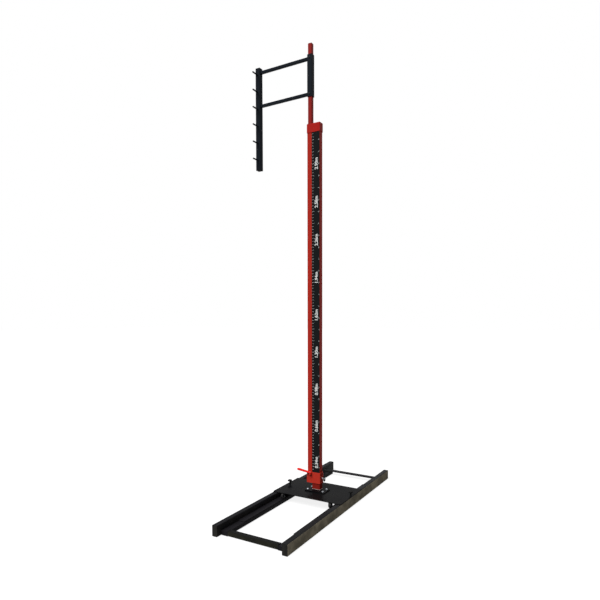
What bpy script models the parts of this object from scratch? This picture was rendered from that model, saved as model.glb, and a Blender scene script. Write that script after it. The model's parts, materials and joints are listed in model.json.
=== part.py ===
"""Pole vault standard: a wheeled trolley on a floor frame carries a column, and a mast with a peg bar
slides up out of the column on a winch cable.

Metres, +Z up. The origin is on the floor, under the middle of the whole stand. The base frame runs
along Y, the pegs point to -Y and the crank is on the +X side.
"""
import math

import bmesh
import bpy
from mathutils import Matrix, Vector

# Gaps between pieces
SEAT = 0.0003                   # between pieces that rest on each other or are welded
SLIDE_GAP = 0.0004              # round the sleeve, the collar, the spigot and the foot shoe
CORNER_STEPS = 3                # facets in one round corner of a tube

# Floor frame
BASE_WIDTH = 0.650
RAIL_LENGTH = 1.900
RAIL_WIDTH = 0.046
RAIL_HEIGHT = 0.085
RAIL_WALL = 0.003
RAIL_CORNER = 0.005
END_CAP_THICKNESS = 0.003
END_CAP_INSET = 0.0006
END_CAP_PLUG = 0.018
TRACK_WIDTH = 0.060
TRACK_HEIGHT = 0.033
TRACK_WALL = 0.0025
TRACK_CORNER = 0.003
TRACK_FLOOR_GAP = 0.003
TRACK_FRONT_INSET = 0.045       # tracks from the rails' ends
TRACK_REAR_INSET = 0.135
STRIP_THICKNESS = 0.0055
STRIP_WIDTH = 0.058
STRIP_FRONT_INSET = 0.205       # strips from the tracks' ends
STRIP_REAR_INSET = 0.255
FRONT_CROSS_DEPTH = 0.042
FRONT_CROSS_HEIGHT = 0.036
FRONT_CROSS_FLOOR_GAP = 0.005
REAR_CROSS_DEPTH = 0.050
REAR_CROSS_THICKNESS = 0.009

# Trolley
PLATE_LIFT = 0.001              # underside of the plate above the rails
PLATE_THICKNESS = 0.005
PLATE_FRONT = -0.135
PLATE_DEPTH = 0.424
PLATE_CORNER = 0.006
ROLLER_RADIUS = 0.0205
ROLLER_WIDTH = 0.020
ROLLER_ROUNDING = 0.0015
ROLLER_AXLE_GAP = 0.0005
ROLLER_SIDE_INSET = 0.001       # roller's inner side from the track's inner edge
ROLLER_FRONT_INSET = 0.007      # front axles behind the plate's front edge
ROLLER_REAR_INSET = 0.019       # rear axles ahead of the plate's rear edge
FORK_THICKNESS = 0.004
FORK_WIDTH = 0.024
FORK_BELOW_AXLE = 0.009
AXLE_RADIUS = 0.0045
AXLE_HEAD_RADIUS = 0.0075
AXLE_HEAD_THICKNESS = 0.003
KNOB_SIDE_INSET = 0.023         # clamp screws from the base's outer faces
KNOB_FRONT_INSET = 0.242        # clamp screws from the plate's front edge
KNOB_STUD_RADIUS = 0.005
KNOB_NECK_RADIUS = 0.0075
KNOB_NECK_HEIGHT = 0.021
KNOB_RADIUS = 0.0225
KNOB_THICKNESS = 0.014
KNOB_LOBES = 5
KNOB_LOBE_DEPTH = 0.0052

# Foot of the column
FLANGE_WIDTH = 0.190
FLANGE_DEPTH = 0.118
FLANGE_THICKNESS = 0.008
FLANGE_FRONT_INSET = 0.147      # flange from the plate's front edge
FLANGE_CORNER = 0.006
BOLT_SIDE_INSET = 0.022         # bolts from the flange's edges
BOLT_FRONT_INSET = 0.022
BOLT_REAR_INSET = 0.025
BOLT_RADIUS = 0.005
BOLT_FLATS = 0.017
BOLT_HEAD = 0.0065
WASHER_RADIUS = 0.0105
WASHER_THICKNESS = 0.0015
NUT_HEIGHT = 0.008
FOOT_WIDTH = 0.075
FOOT_WALL = 0.0025
FOOT_HEIGHT = 0.0557            # column's underside above the flange
SPIGOT_LENGTH = 0.295

# Column
COLUMN_LEFT = -0.0915           # its left face, from the middle of the base
COLUMN_FRONT_INSET = 0.052      # column from the flange's front edge
COLUMN_WIDTH = 0.120
COLUMN_DEPTH = 0.050
COLUMN_LENGTH = 3.023
COLUMN_WALL = 0.0025
COLUMN_CORNER = 0.003
DIVIDER_FROM_LEFT = 0.044       # middle of the wall between the two chambers
SCALE_THICKNESS = 0.001
SCALE_SIDE_INSET = 0.001
SCALE_END_GAP = 0.001
CAP_SKIRT = 0.013               # how far the cap reaches down over the column
CAP_HEIGHT = 0.075
CAP_WALL = 0.003
CAP_ROOF = 0.010
CAP_ROUNDING = 0.004
BUSH_WALL = 0.0016
BUSH_FLANGE_WIDTH = 0.003
BUSH_FLANGE_THICKNESS = 0.002

# Collar, lever and winch
COLLAR_BELOW_COLUMN = 0.0015
COLLAR_HEIGHT = 0.0951
COLLAR_WALL = 0.0062
COLLAR_CORNER = 0.004
LEVER_PIVOT_X = 0.0355          # pivot from the column's left face
LEVER_FORWARD = 0.0135          # pivot ahead of the collar's front
LEVER_LENGTH = 0.113
LEVER_ROOT_RADIUS = 0.011
LEVER_TIP_RADIUS = 0.016
LEVER_THICKNESS = 0.011
LEVER_SLOPE = 0.12              # the lever's rise towards its tip, as a share of its length
LEVER_ABOVE_COLLAR = 0.0045
EAR_HEIGHT = 0.012
LEVER_PIN_RADIUS = 0.003
LEVER_PIN_HEAD_RADIUS = 0.0055
LEVER_PIN_HEAD = 0.003
SHAFT_RADIUS = 0.006
SHAFT_ABOVE_FOOT = 0.044        # winch shaft above the column's underside
DRUM_CORE_RADIUS = 0.015
DRUM_FLANGE_RADIUS = 0.0185
DRUM_FLANGE_THICKNESS = 0.003
DRUM_LENGTH = 0.040
CRANK_GAP = 0.022               # bare shaft between the collar and the crank arm
CRANK_ARM_THICKNESS = 0.009
CRANK_ARM_RADIUS = 0.012
CRANK_ARM_TAIL = 0.013          # how far the arm runs on past the shaft
CRANK_THROW = 0.075
GRIP_LENGTH = 0.062
GRIP_RADIUS = 0.011
GRIP_SPINDLE_RADIUS = 0.004
GRIP_RIVET_RADIUS = 0.0065
GRIP_RIVET_THICKNESS = 0.003

# Cable and top pulley
CABLE_RADIUS = 0.00125
CABLE_TURNS = 3
CABLE_PITCH = 0.0034
CABLE_TURN_POINTS = 24
PULLEY_CABLE_RADIUS = 0.0215    # from the pulley's axis to the cable's middle
PULLEY_FLANGE = 0.0011          # how far the rim stands past the cable's middle
PULLEY_RIM_WIDTH = 0.010
PULLEY_WEB_WIDTH = 0.005
PULLEY_HUB_RADIUS = 0.008
PULLEY_FLOOR_GAP = 0.0034       # rim above the column's top
PULLEY_AXLE_RADIUS = 0.004

# Mast
MAST_SIZE = 0.036
MAST_SIDE_GAP = 0.0005          # to the left wall of its chamber
MAST_WALL = 0.0025
MAST_CORNER = 0.004
MAST_REACH = 0.729              # mast's top above the column's top, as photographed
MAST_LENGTH = 3.290
MAST_PLUG_THICKNESS = 0.003
MAST_PLUG_DEPTH = 0.020
SHOE_THICKNESS = 0.020
SHOE_PLUG = 0.030

# Bracket
SLEEVE_WALL = 0.0045
SLEEVE_CORNER = 0.003
SLEEVE_LENGTH = 0.348
MAST_ABOVE_SLEEVE = 0.089
SCREW_INSET = 0.025             # screws from the sleeve's ends
SCREW_RADIUS = 0.004
SCREW_HEAD_RADIUS = 0.008
SCREW_HEAD = 0.006
ARM_SIZE = 0.024
ARM_WALL = 0.002
ARM_CORNER = 0.003
ARM_UPPER_DROP = 0.027          # arm from the sleeve's top
ARM_LOWER_RISE = 0.0275         # arm from the sleeve's bottom
BAR_REACH = 0.625               # the bar's far face from the middle of the base
BAR_SIZE = 0.046
BAR_WALL = 0.0025
BAR_CORNER = 0.003
BAR_ABOVE_PEGS = 0.059
BAR_BELOW_PEGS = 0.085
BAR_CAP_THICKNESS = 0.003
PEG_COUNT = 6
PEG_PITCH = 0.150
PEG_TOP_DROP = 0.050            # top peg from the sleeve's top
PEG_LENGTH = 0.075              # what stands out of the bar
PEG_RADIUS = 0.0065
PEG_TIP_ROUNDING = 0.003

# Heights and places that follow from the sizes above
BASE_X = (BAR_REACH - BASE_WIDTH / 2) / 2
RAIL_X = BASE_WIDTH / 2 - RAIL_WIDTH / 2
RAIL_INNER_X = BASE_WIDTH / 2 - RAIL_WIDTH
TRACK_X = RAIL_INNER_X - SEAT - TRACK_WIDTH / 2
TRACK_INNER_X = TRACK_X - TRACK_WIDTH / 2
TRACK_FRONT = TRACK_FRONT_INSET - RAIL_LENGTH / 2
TRACK_REAR = RAIL_LENGTH / 2 - TRACK_REAR_INSET
STRIP_FRONT = TRACK_FRONT + STRIP_FRONT_INSET
STRIP_REAR = TRACK_REAR - STRIP_REAR_INSET
TRACK_TOP = TRACK_FLOOR_GAP + TRACK_HEIGHT
STRIP_TOP = TRACK_TOP + SEAT + STRIP_THICKNESS
PLATE_BOTTOM = RAIL_HEIGHT + PLATE_LIFT
PLATE_TOP = PLATE_BOTTOM + PLATE_THICKNESS
PLATE_REAR = PLATE_FRONT + PLATE_DEPTH
ROLLER_Z = STRIP_TOP + SEAT + ROLLER_RADIUS
ROLLER_X = TRACK_INNER_X + ROLLER_SIDE_INSET + ROLLER_WIDTH / 2
ROLLER_YS = (PLATE_FRONT + ROLLER_FRONT_INSET, PLATE_REAR - ROLLER_REAR_INSET)
KNOB_X = BASE_WIDTH / 2 - KNOB_SIDE_INSET
KNOB_Y = PLATE_FRONT + KNOB_FRONT_INSET
FLANGE_BOTTOM = PLATE_TOP + SEAT
FLANGE_TOP = FLANGE_BOTTOM + FLANGE_THICKNESS
FLANGE_FRONT = PLATE_FRONT + FLANGE_FRONT_INSET
FLANGE_Y = FLANGE_FRONT + FLANGE_DEPTH / 2
BOLT_X = FLANGE_WIDTH / 2 - BOLT_SIDE_INSET
BOLT_YS = (FLANGE_FRONT + BOLT_FRONT_INSET, FLANGE_FRONT + FLANGE_DEPTH - BOLT_REAR_INSET)
FOOT_BOTTOM = FLANGE_TOP + SEAT
COLUMN_BOTTOM = FLANGE_TOP + FOOT_HEIGHT
COLUMN_TOP = COLUMN_BOTTOM + COLUMN_LENGTH
COLUMN_FRONT = FLANGE_FRONT + COLUMN_FRONT_INSET
SPIGOT_TOP = COLUMN_BOTTOM + SPIGOT_LENGTH
SHAFT_HEIGHT = COLUMN_BOTTOM + SHAFT_ABOVE_FOOT
COLLAR_BOTTOM = COLUMN_BOTTOM - COLLAR_BELOW_COLUMN
COLLAR_TOP = COLLAR_BOTTOM + COLLAR_HEIGHT
COLUMN_RIGHT = COLUMN_LEFT + COLUMN_WIDTH
COLUMN_X = COLUMN_LEFT + COLUMN_WIDTH / 2
COLUMN_Y = COLUMN_FRONT + COLUMN_DEPTH / 2
DIVIDER_X = COLUMN_LEFT + DIVIDER_FROM_LEFT
LEFT_CHAMBER = (COLUMN_LEFT + COLUMN_WALL, DIVIDER_X - COLUMN_WALL / 2)
RIGHT_CHAMBER = (DIVIDER_X + COLUMN_WALL / 2, COLUMN_RIGHT - COLUMN_WALL)
CHAMBER_DEPTH = COLUMN_DEPTH - 2 * COLUMN_WALL
SPIGOT_WIDTH = RIGHT_CHAMBER[1] - RIGHT_CHAMBER[0] - 2 * SLIDE_GAP
SPIGOT_DEPTH = CHAMBER_DEPTH - 2 * SLIDE_GAP
SPIGOT_X = (RIGHT_CHAMBER[0] + RIGHT_CHAMBER[1]) / 2
FOOT_X = COLUMN_RIGHT - FOOT_WIDTH / 2
COLLAR_WIDTH = COLUMN_WIDTH + 2 * (SLIDE_GAP + COLLAR_WALL)
COLLAR_DEPTH = COLUMN_DEPTH + 2 * (SLIDE_GAP + COLLAR_WALL)
COLLAR_FRONT = COLUMN_Y - COLLAR_DEPTH / 2
CAP_BOTTOM = COLUMN_TOP - CAP_SKIRT
CAP_TOP = CAP_BOTTOM + CAP_HEIGHT
CAP_CEILING = CAP_TOP - CAP_ROOF
MAST_X = LEFT_CHAMBER[0] + MAST_SIDE_GAP + MAST_SIZE / 2
MAST_RIGHT = MAST_X + MAST_SIZE / 2
MAST_TOP = COLUMN_TOP + MAST_REACH
MAST_BOTTOM = MAST_TOP - MAST_LENGTH
CABLE_X = (MAST_RIGHT + LEFT_CHAMBER[1]) / 2
PULLEY_RADIUS = PULLEY_CABLE_RADIUS + PULLEY_FLANGE
PULLEY_X = CABLE_X + PULLEY_CABLE_RADIUS
PULLEY_Z = COLUMN_TOP + PULLEY_FLOOR_GAP + PULLEY_RADIUS
CABLE_DRUM_RADIUS = DRUM_CORE_RADIUS + SEAT + CABLE_RADIUS
DRUM_X = SPIGOT_X
LEVER_X = COLUMN_LEFT + LEVER_PIVOT_X
LEVER_Y = COLLAR_FRONT - LEVER_FORWARD
LEVER_TOP = COLLAR_TOP + LEVER_ABOVE_COLLAR
LEVER_BOTTOM = LEVER_TOP - LEVER_THICKNESS
EAR_TOP = LEVER_BOTTOM - LEVER_SLOPE * LEVER_ROOT_RADIUS - SEAT
EAR_BOTTOM = EAR_TOP - EAR_HEIGHT
CRANK_ARM_X = COLUMN_X + COLLAR_WIDTH / 2 + CRANK_GAP
SLEEVE_SIZE = MAST_SIZE + 2 * (SLIDE_GAP + SLEEVE_WALL)
SLEEVE_LEFT = MAST_X - SLEEVE_SIZE / 2
SLEEVE_TOP = MAST_TOP - MAST_ABOVE_SLEEVE
SLEEVE_BOTTOM = SLEEVE_TOP - SLEEVE_LENGTH
ARM_HEIGHTS = (SLEEVE_TOP - ARM_UPPER_DROP, SLEEVE_BOTTOM + ARM_LOWER_RISE)
PEG_TOP_HEIGHT = SLEEVE_TOP - PEG_TOP_DROP
PEG_BOTTOM_HEIGHT = PEG_TOP_HEIGHT - PEG_PITCH * (PEG_COUNT - 1)
BAR_TOP = PEG_TOP_HEIGHT + BAR_ABOVE_PEGS
BAR_BOTTOM = PEG_BOTTOM_HEIGHT - BAR_BELOW_PEGS
BAR_X = -BAR_REACH + BAR_SIZE / 2

# Colour, roughness and metallic value of each finish
FINISHES = {
    "red_paint": ((0.400, 0.024, 0.016), 0.35, 0.0),
    "lever_red": ((0.640, 0.040, 0.022), 0.40, 0.0),
    "black_paint": ((0.012, 0.014, 0.018), 0.32, 0.0),
    "black_plastic": ((0.010, 0.011, 0.012), 0.55, 0.0),
    "scale_black": ((0.014, 0.017, 0.016), 0.60, 0.0),
    "zinc": ((0.560, 0.580, 0.600), 0.35, 1.0),
    "wire": ((0.450, 0.460, 0.470), 0.42, 1.0),
    "nylon": ((0.030, 0.031, 0.034), 0.50, 0.0),
}
AXIS_TURNS = {
    "X": Matrix.Rotation(math.pi / 2, 4, "Y"),
    "Y": Matrix.Rotation(math.pi / 2, 4, "X"),
    "Z": Matrix.Identity(4),
}


def clear_scene():
    """Removes what the scene holds."""
    for item in list(bpy.data.objects):
        bpy.data.objects.remove(item, do_unlink=True)


def paint(name, finish):
    """Returns a piece's own Principled material."""
    colour, roughness, metallic = FINISHES[finish]
    material = bpy.data.materials.new(name)
    material.use_nodes = True
    shader = material.node_tree.nodes["Principled BSDF"]
    shader.inputs["Base Color"].default_value = (*colour, 1.0)
    shader.inputs["Roughness"].default_value = roughness
    shader.inputs["Metallic"].default_value = metallic
    material.diffuse_color = (*colour, 1.0)
    return material


def rectangle(width, depth, radius=0.0, centre=(0.0, 0.0), steps=CORNER_STEPS):
    """Returns a rectangle's points, anticlockwise, with round corners where radius is over 0."""
    points = []
    for side_x, side_y, start in ((1, -1, -90), (1, 1, 0), (-1, 1, 90), (-1, -1, 180)):
        x = centre[0] + side_x * (width / 2 - radius)
        y = centre[1] + side_y * (depth / 2 - radius)
        if radius == 0.0:
            points.append((x, y))
            continue
        for step in range(steps + 1):
            angle = math.radians(start + 90 * step / steps)
            points.append((x + radius * math.cos(angle), y + radius * math.sin(angle)))
    return points


def circle(radius, count=24, centre=(0.0, 0.0)):
    """Returns a circle's points, anticlockwise."""
    angles = [2 * math.pi * k / count for k in range(count)]
    return [(centre[0] + radius * math.cos(a), centre[1] + radius * math.sin(a)) for a in angles]


def hexagon(flats, count=18):
    """Returns a hexagon's points, with as many as a circle has, so that the two can be skinned."""
    points = []
    for k in range(count):
        angle = 2 * math.pi * k / count
        from_flat = (angle + math.pi / 6) % (math.pi / 3) - math.pi / 6
        radius = flats / 2 / math.cos(from_flat)
        points.append((radius * math.cos(angle), radius * math.sin(angle)))
    return points


def lobed(radius, depth, lobes, count=30):
    """Returns the outline of a hand knob with shallow lobes."""
    points = []
    for k in range(count):
        angle = 2 * math.pi * k / count
        r = radius - depth * (1 - math.cos(lobes * angle)) / 2
        points.append((r * math.cos(angle), r * math.sin(angle)))
    return points


def capsule(radius_a, radius_b, length, steps=8):
    """Returns the outline of a flat bar along -X, from a round end at the origin to a round tip."""
    points = []
    for k in range(steps + 1):
        angle = math.radians(-90 + 180 * k / steps)
        points.append((radius_a * math.cos(angle), radius_a * math.sin(angle)))
    for k in range(steps + 1):
        angle = math.radians(90 + 180 * k / steps)
        points.append((-length + radius_b * math.cos(angle), radius_b * math.sin(angle)))
    return points


def loft(sections, ring=False, into=None):
    """Skins a row of (outline, height) sections; a ring joins the last to the first."""
    bm = into if into is not None else bmesh.new()
    loops = [[bm.verts.new((x, y, z)) for x, y in outline] for outline, z in sections]
    pairs = list(zip(loops, loops[1:]))
    if ring:
        pairs.append((loops[-1], loops[0]))
    for lower, upper in pairs:
        for k in range(len(lower)):
            j = (k + 1) % len(lower)
            bm.faces.new((lower[k], lower[j], upper[j], upper[k]))
    if not ring:
        bm.faces.new(loops[0])
        bm.faces.new(loops[-1])
    bmesh.ops.recalc_face_normals(bm, faces=bm.faces[:])
    return bm


def prism(outline, holes, bottom, top):
    """Fills an outline round its holes, and extrudes it from bottom to top."""
    bm = bmesh.new()
    edges = []
    for loop in (outline, *holes):
        verts = [bm.verts.new((x, y, bottom)) for x, y in loop]
        edges += [bm.edges.new((verts[k - 1], verts[k])) for k in range(len(verts))]
    filled = bmesh.ops.triangle_fill(bm, edges=edges, use_beauty=True, normal=(0, 0, 1))
    faces = [item for item in filled["geom"] if isinstance(item, bmesh.types.BMFace)]
    raised = bmesh.ops.extrude_face_region(bm, geom=faces)
    verts = [item for item in raised["geom"] if isinstance(item, bmesh.types.BMVert)]
    bmesh.ops.translate(bm, verts=verts, vec=(0, 0, top - bottom))
    bmesh.ops.recalc_face_normals(bm, faces=bm.faces[:])
    return bm


def tube(outer, inner, bottom, top):
    """Returns a straight tube between two outlines, open at both ends."""
    return loft([(outer, bottom), (outer, top), (inner, top), (inner, bottom)], ring=True)


def place(item, at):
    """Puts an object at a point given from the middle of the base."""
    item.location = (BASE_X + at[0], at[1], at[2])
    bpy.context.collection.objects.link(item)


def add_part(name, bm, finish, at, axis="Z", smooth=False):
    """Makes a named object of a mesh whose own Z lies along the given axis."""
    bmesh.ops.transform(bm, matrix=AXIS_TURNS[axis], verts=bm.verts[:])
    mesh = bpy.data.meshes.new(name)
    bm.to_mesh(mesh)
    bm.free()
    mesh.materials.append(paint(name, finish))
    if smooth:
        mesh.shade_smooth()
        mesh.set_sharp_from_angle(angle=math.radians(38))
    item = bpy.data.objects.new(name, mesh)
    place(item, at)
    return item


def add_tool(name, bm, at, axis="Z"):
    """Makes a hidden solid that a Boolean modifier joins to a piece or cuts out of it."""
    bmesh.ops.transform(bm, matrix=AXIS_TURNS[axis], verts=bm.verts[:])
    mesh = bpy.data.meshes.new(name)
    bm.to_mesh(mesh)
    bm.free()
    item = bpy.data.objects.new(name, mesh)
    item.hide_render = True
    item.display_type = "WIRE"
    place(item, at)
    return item


def combine(piece, tool, operation):
    """Adds a Boolean modifier to a piece."""
    modifier = piece.modifiers.new(tool.name, "BOOLEAN")
    modifier.operation = operation
    modifier.solver = "EXACT"
    modifier.object = tool


def pins(centres, radius, bottom, top, count=16):
    """Returns separate round pins along Z in one mesh, for holes cut together."""
    bm = bmesh.new()
    for centre in centres:
        outline = circle(radius, count, centre)
        loft([(outline, bottom), (outline, top)], into=bm)
    return bm


def floor_frame():
    """Two rails, their end caps, the tracks inside them and the two cross members."""
    outer = rectangle(RAIL_WIDTH, RAIL_HEIGHT, RAIL_CORNER)
    inner = rectangle(RAIL_WIDTH - 2 * RAIL_WALL, RAIL_HEIGHT - 2 * RAIL_WALL, RAIL_CORNER - RAIL_WALL)
    lid = rectangle(RAIL_WIDTH - 2 * END_CAP_INSET, RAIL_HEIGHT - 2 * END_CAP_INSET, RAIL_CORNER)
    plug = rectangle(RAIL_WIDTH - 2 * (RAIL_WALL + SEAT), RAIL_HEIGHT - 2 * (RAIL_WALL + SEAT),
                     RAIL_CORNER - RAIL_WALL)
    track_outer = rectangle(TRACK_WIDTH, TRACK_HEIGHT, TRACK_CORNER)
    track_inner = rectangle(TRACK_WIDTH - 2 * TRACK_WALL, TRACK_HEIGHT - 2 * TRACK_WALL,
                            TRACK_CORNER - TRACK_WALL)
    track_length = TRACK_REAR - TRACK_FRONT
    strip = rectangle(STRIP_WIDTH, STRIP_THICKNESS)
    rail_z = RAIL_HEIGHT / 2
    half = RAIL_LENGTH / 2
    for side, label in ((-1, "left"), (1, "right")):
        add_part(f"base_rail_{label}", tube(outer, inner, -half, half), "black_paint",
                 (side * RAIL_X, 0.0, rail_z), "Y")
        for end, end_label in ((-1, "front"), (1, "rear")):
            sections = [(lid, SEAT + END_CAP_THICKNESS), (lid, SEAT), (plug, SEAT), (plug, -END_CAP_PLUG)]
            bm = loft([(outline, -end * height) for outline, height in sections])
            add_part(f"rail_end_cap_{label}_{end_label}", bm, "black_plastic",
                     (side * RAIL_X, end * half, rail_z), "Y")
        # The closed end of the track tube faces the front.
        bm = loft([(track_inner, track_length / 2 - TRACK_WALL), (track_inner, -track_length / 2),
                   (track_outer, -track_length / 2), (track_outer, track_length / 2)])
        add_part(f"track_tube_{label}", bm, "black_paint",
                 (side * TRACK_X, (TRACK_FRONT + TRACK_REAR) / 2, TRACK_FLOOR_GAP + TRACK_HEIGHT / 2), "Y")
        strip_half = (STRIP_REAR - STRIP_FRONT) / 2
        add_part(f"running_strip_{label}", loft([(strip, -strip_half), (strip, strip_half)]),
                 "black_paint", (side * TRACK_X, (STRIP_FRONT + STRIP_REAR) / 2,
                                 STRIP_TOP - STRIP_THICKNESS / 2), "Y")
    cross_outer = rectangle(FRONT_CROSS_HEIGHT, FRONT_CROSS_DEPTH, TRACK_CORNER)
    cross_inner = rectangle(FRONT_CROSS_HEIGHT - 2 * TRACK_WALL, FRONT_CROSS_DEPTH - 2 * TRACK_WALL,
                            TRACK_CORNER - TRACK_WALL)
    cross_half = TRACK_INNER_X - SEAT
    add_part("cross_member_front", tube(cross_outer, cross_inner, -cross_half, cross_half),
             "black_paint", (0.0, TRACK_FRONT + FRONT_CROSS_DEPTH / 2,
                             FRONT_CROSS_FLOOR_GAP + FRONT_CROSS_HEIGHT / 2), "X")
    bar = rectangle(REAR_CROSS_THICKNESS, REAR_CROSS_DEPTH)
    bar_half = RAIL_INNER_X - SEAT
    add_part("cross_member_rear", loft([(bar, -bar_half), (bar, bar_half)]), "black_paint",
             (0.0, TRACK_REAR - REAR_CROSS_DEPTH / 2, TRACK_TOP + SEAT + REAR_CROSS_THICKNESS / 2), "X")


def fork_ears():
    """Returns the eight ears under the plate that hold the roller axles, in one mesh."""
    bm = bmesh.new()
    half = FORK_WIDTH / 2
    top = PLATE_BOTTOM + PLATE_THICKNESS / 2 - ROLLER_Z
    chamfer = FORK_BELOW_AXLE / 2
    outline = [(-top, -half), (FORK_BELOW_AXLE - chamfer, -half), (FORK_BELOW_AXLE, -half + chamfer),
               (FORK_BELOW_AXLE, half - chamfer), (FORK_BELOW_AXLE - chamfer, half), (-top, half)]
    gap = ROLLER_WIDTH / 2 + SEAT
    for side in (-1, 1):
        for y in ROLLER_YS:
            shape = [(u, v + y) for u, v in outline]
            for inner, outer in ((-gap - FORK_THICKNESS, -gap), (gap, gap + FORK_THICKNESS)):
                loft([(shape, side * ROLLER_X + inner), (shape, side * ROLLER_X + outer)], into=bm)
    return bm


def trolley_plate():
    """The plate across both rails, with its roller forks and its holes."""
    middle_y = (PLATE_FRONT + PLATE_REAR) / 2
    outline = rectangle(BASE_WIDTH, PLATE_DEPTH, PLATE_CORNER, (0.0, middle_y))
    plate = add_part("trolley_plate", loft([(outline, PLATE_BOTTOM), (outline, PLATE_TOP)]),
                     "black_paint", (0.0, 0.0, 0.0))
    ears = add_tool("fork_ears", fork_ears(), (0.0, 0.0, ROLLER_Z), "X")
    combine(plate, ears, "UNION")
    across = pins([(0.0, y) for y in ROLLER_YS], AXLE_RADIUS + SEAT, -BASE_WIDTH, BASE_WIDTH)
    combine(plate, add_tool("axle_holes", across, (0.0, 0.0, ROLLER_Z), "X"), "DIFFERENCE")
    holes = pins(bolt_centres(), BOLT_RADIUS + SEAT, 0.0, 2 * PLATE_TOP)
    combine(plate, add_tool("plate_bolt_holes", holes, (0.0, 0.0, 0.0)), "DIFFERENCE")
    studs = pins([(-KNOB_X, KNOB_Y), (KNOB_X, KNOB_Y)], KNOB_STUD_RADIUS + SEAT, 0.0, 2 * PLATE_TOP)
    combine(plate, add_tool("stud_holes", studs, (0.0, 0.0, 0.0)), "DIFFERENCE")


def track_rollers():
    """Four nylon rollers in the forks, each on its own axle."""
    half = ROLLER_WIDTH / 2
    bore = circle(AXLE_RADIUS + ROLLER_AXLE_GAP)
    rim = [(ROLLER_RADIUS - ROLLER_ROUNDING, -half), (ROLLER_RADIUS, -half + ROLLER_ROUNDING),
           (ROLLER_RADIUS, half - ROLLER_ROUNDING), (ROLLER_RADIUS - ROLLER_ROUNDING, half)]
    reach = half + SEAT + FORK_THICKNESS + SEAT
    shank = circle(AXLE_RADIUS, 16)
    head = circle(AXLE_HEAD_RADIUS, 16)
    number = 0
    for side in (-1, 1):
        for y in ROLLER_YS:
            number += 1
            at = (side * ROLLER_X, y, ROLLER_Z)
            sections = [(bore, -half)] + [(circle(r), z) for r, z in rim] + [(bore, half)]
            add_part(f"track_roller_{number}", loft(sections, ring=True), "nylon", at, "X", True)
            bm = loft([(head, -reach - AXLE_HEAD_THICKNESS), (head, -reach), (shank, -reach),
                       (shank, reach), (head, reach), (head, reach + AXLE_HEAD_THICKNESS)])
            add_part(f"roller_axle_{number}", bm, "zinc", at, "X", True)


def clamp_knobs():
    """The two screws that press on the rails and hold the trolley where it is."""
    stud = circle(KNOB_STUD_RADIUS, 30)
    neck = circle(KNOB_NECK_RADIUS, 30)
    base = RAIL_HEIGHT + SEAT
    neck_bottom = PLATE_TOP + SEAT
    head_bottom = neck_bottom + KNOB_NECK_HEIGHT
    head_top = head_bottom + KNOB_THICKNESS
    chamfer = KNOB_THICKNESS / 5
    wide = lobed(KNOB_RADIUS, KNOB_LOBE_DEPTH, KNOB_LOBES)
    narrow = lobed(KNOB_RADIUS - chamfer, KNOB_LOBE_DEPTH, KNOB_LOBES)
    sections = [(stud, base), (stud, neck_bottom), (neck, neck_bottom), (neck, head_bottom),
                (narrow, head_bottom), (wide, head_bottom + chamfer), (wide, head_top - chamfer),
                (narrow, head_top)]
    for side, label in ((-1, "left"), (1, "right")):
        add_part(f"clamp_knob_{label}", loft(sections), "black_plastic",
                 (side * KNOB_X, KNOB_Y, 0.0), "Z", True)


def bolt_centres():
    """Returns the four bolt centres of the flange, from the middle of the base."""
    return [(x, y) for y in BOLT_YS for x in (-BOLT_X, BOLT_X)]


def column_foot():
    """The flange on the trolley, its bolts with washers and nuts, and the stepped foot post."""
    outline = rectangle(FLANGE_WIDTH, FLANGE_DEPTH, FLANGE_CORNER, (0.0, FLANGE_Y))
    holes = [circle(BOLT_RADIUS + SEAT, 16, centre) for centre in bolt_centres()]
    add_part("post_flange", prism(outline, holes, FLANGE_BOTTOM, FLANGE_TOP), "black_paint",
             (0.0, 0.0, 0.0))
    shank = circle(BOLT_RADIUS, 18)
    washer = circle(WASHER_RADIUS, 18)
    head = hexagon(BOLT_FLATS)
    crown = circle(BOLT_FLATS / 2 - SEAT, 18)
    nut_top = PLATE_BOTTOM - SEAT
    washer_bottom = FLANGE_TOP + SEAT
    washer_top = washer_bottom + WASHER_THICKNESS
    sections = [(head, nut_top - NUT_HEIGHT), (head, nut_top), (shank, nut_top), (shank, washer_bottom),
                (washer, washer_bottom), (washer, washer_top), (head, washer_top),
                (head, washer_top + BOLT_HEAD * 0.8), (crown, washer_top + BOLT_HEAD)]
    for number, (x, y) in enumerate(bolt_centres(), 1):
        add_part(f"flange_bolt_{number}", loft(sections), "zinc", (x, y, 0.0))
    block = rectangle(FOOT_WIDTH, COLUMN_DEPTH, COLUMN_CORNER)
    spigot = rectangle(SPIGOT_WIDTH, SPIGOT_DEPTH, COLUMN_CORNER, (SPIGOT_X - FOOT_X, 0.0))
    bore = rectangle(SPIGOT_WIDTH - 2 * FOOT_WALL, SPIGOT_DEPTH - 2 * FOOT_WALL,
                     COLUMN_CORNER, (SPIGOT_X - FOOT_X, 0.0))
    shoulder = COLUMN_BOTTOM - SEAT
    bm = loft([(block, FOOT_BOTTOM), (block, shoulder), (spigot, shoulder), (spigot, SPIGOT_TOP),
               (bore, SPIGOT_TOP), (bore, FOOT_BOTTOM)], ring=True)
    post = add_part("foot_post", bm, "red_paint", (FOOT_X, COLUMN_Y, 0.0))
    hole = pins([(0.0, 0.0)], SHAFT_RADIUS + SEAT, -COLUMN_WIDTH, COLUMN_WIDTH)
    combine(post, add_tool("foot_shaft_hole", hole, (FOOT_X, COLUMN_Y, SHAFT_HEIGHT), "X"), "DIFFERENCE")


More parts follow.
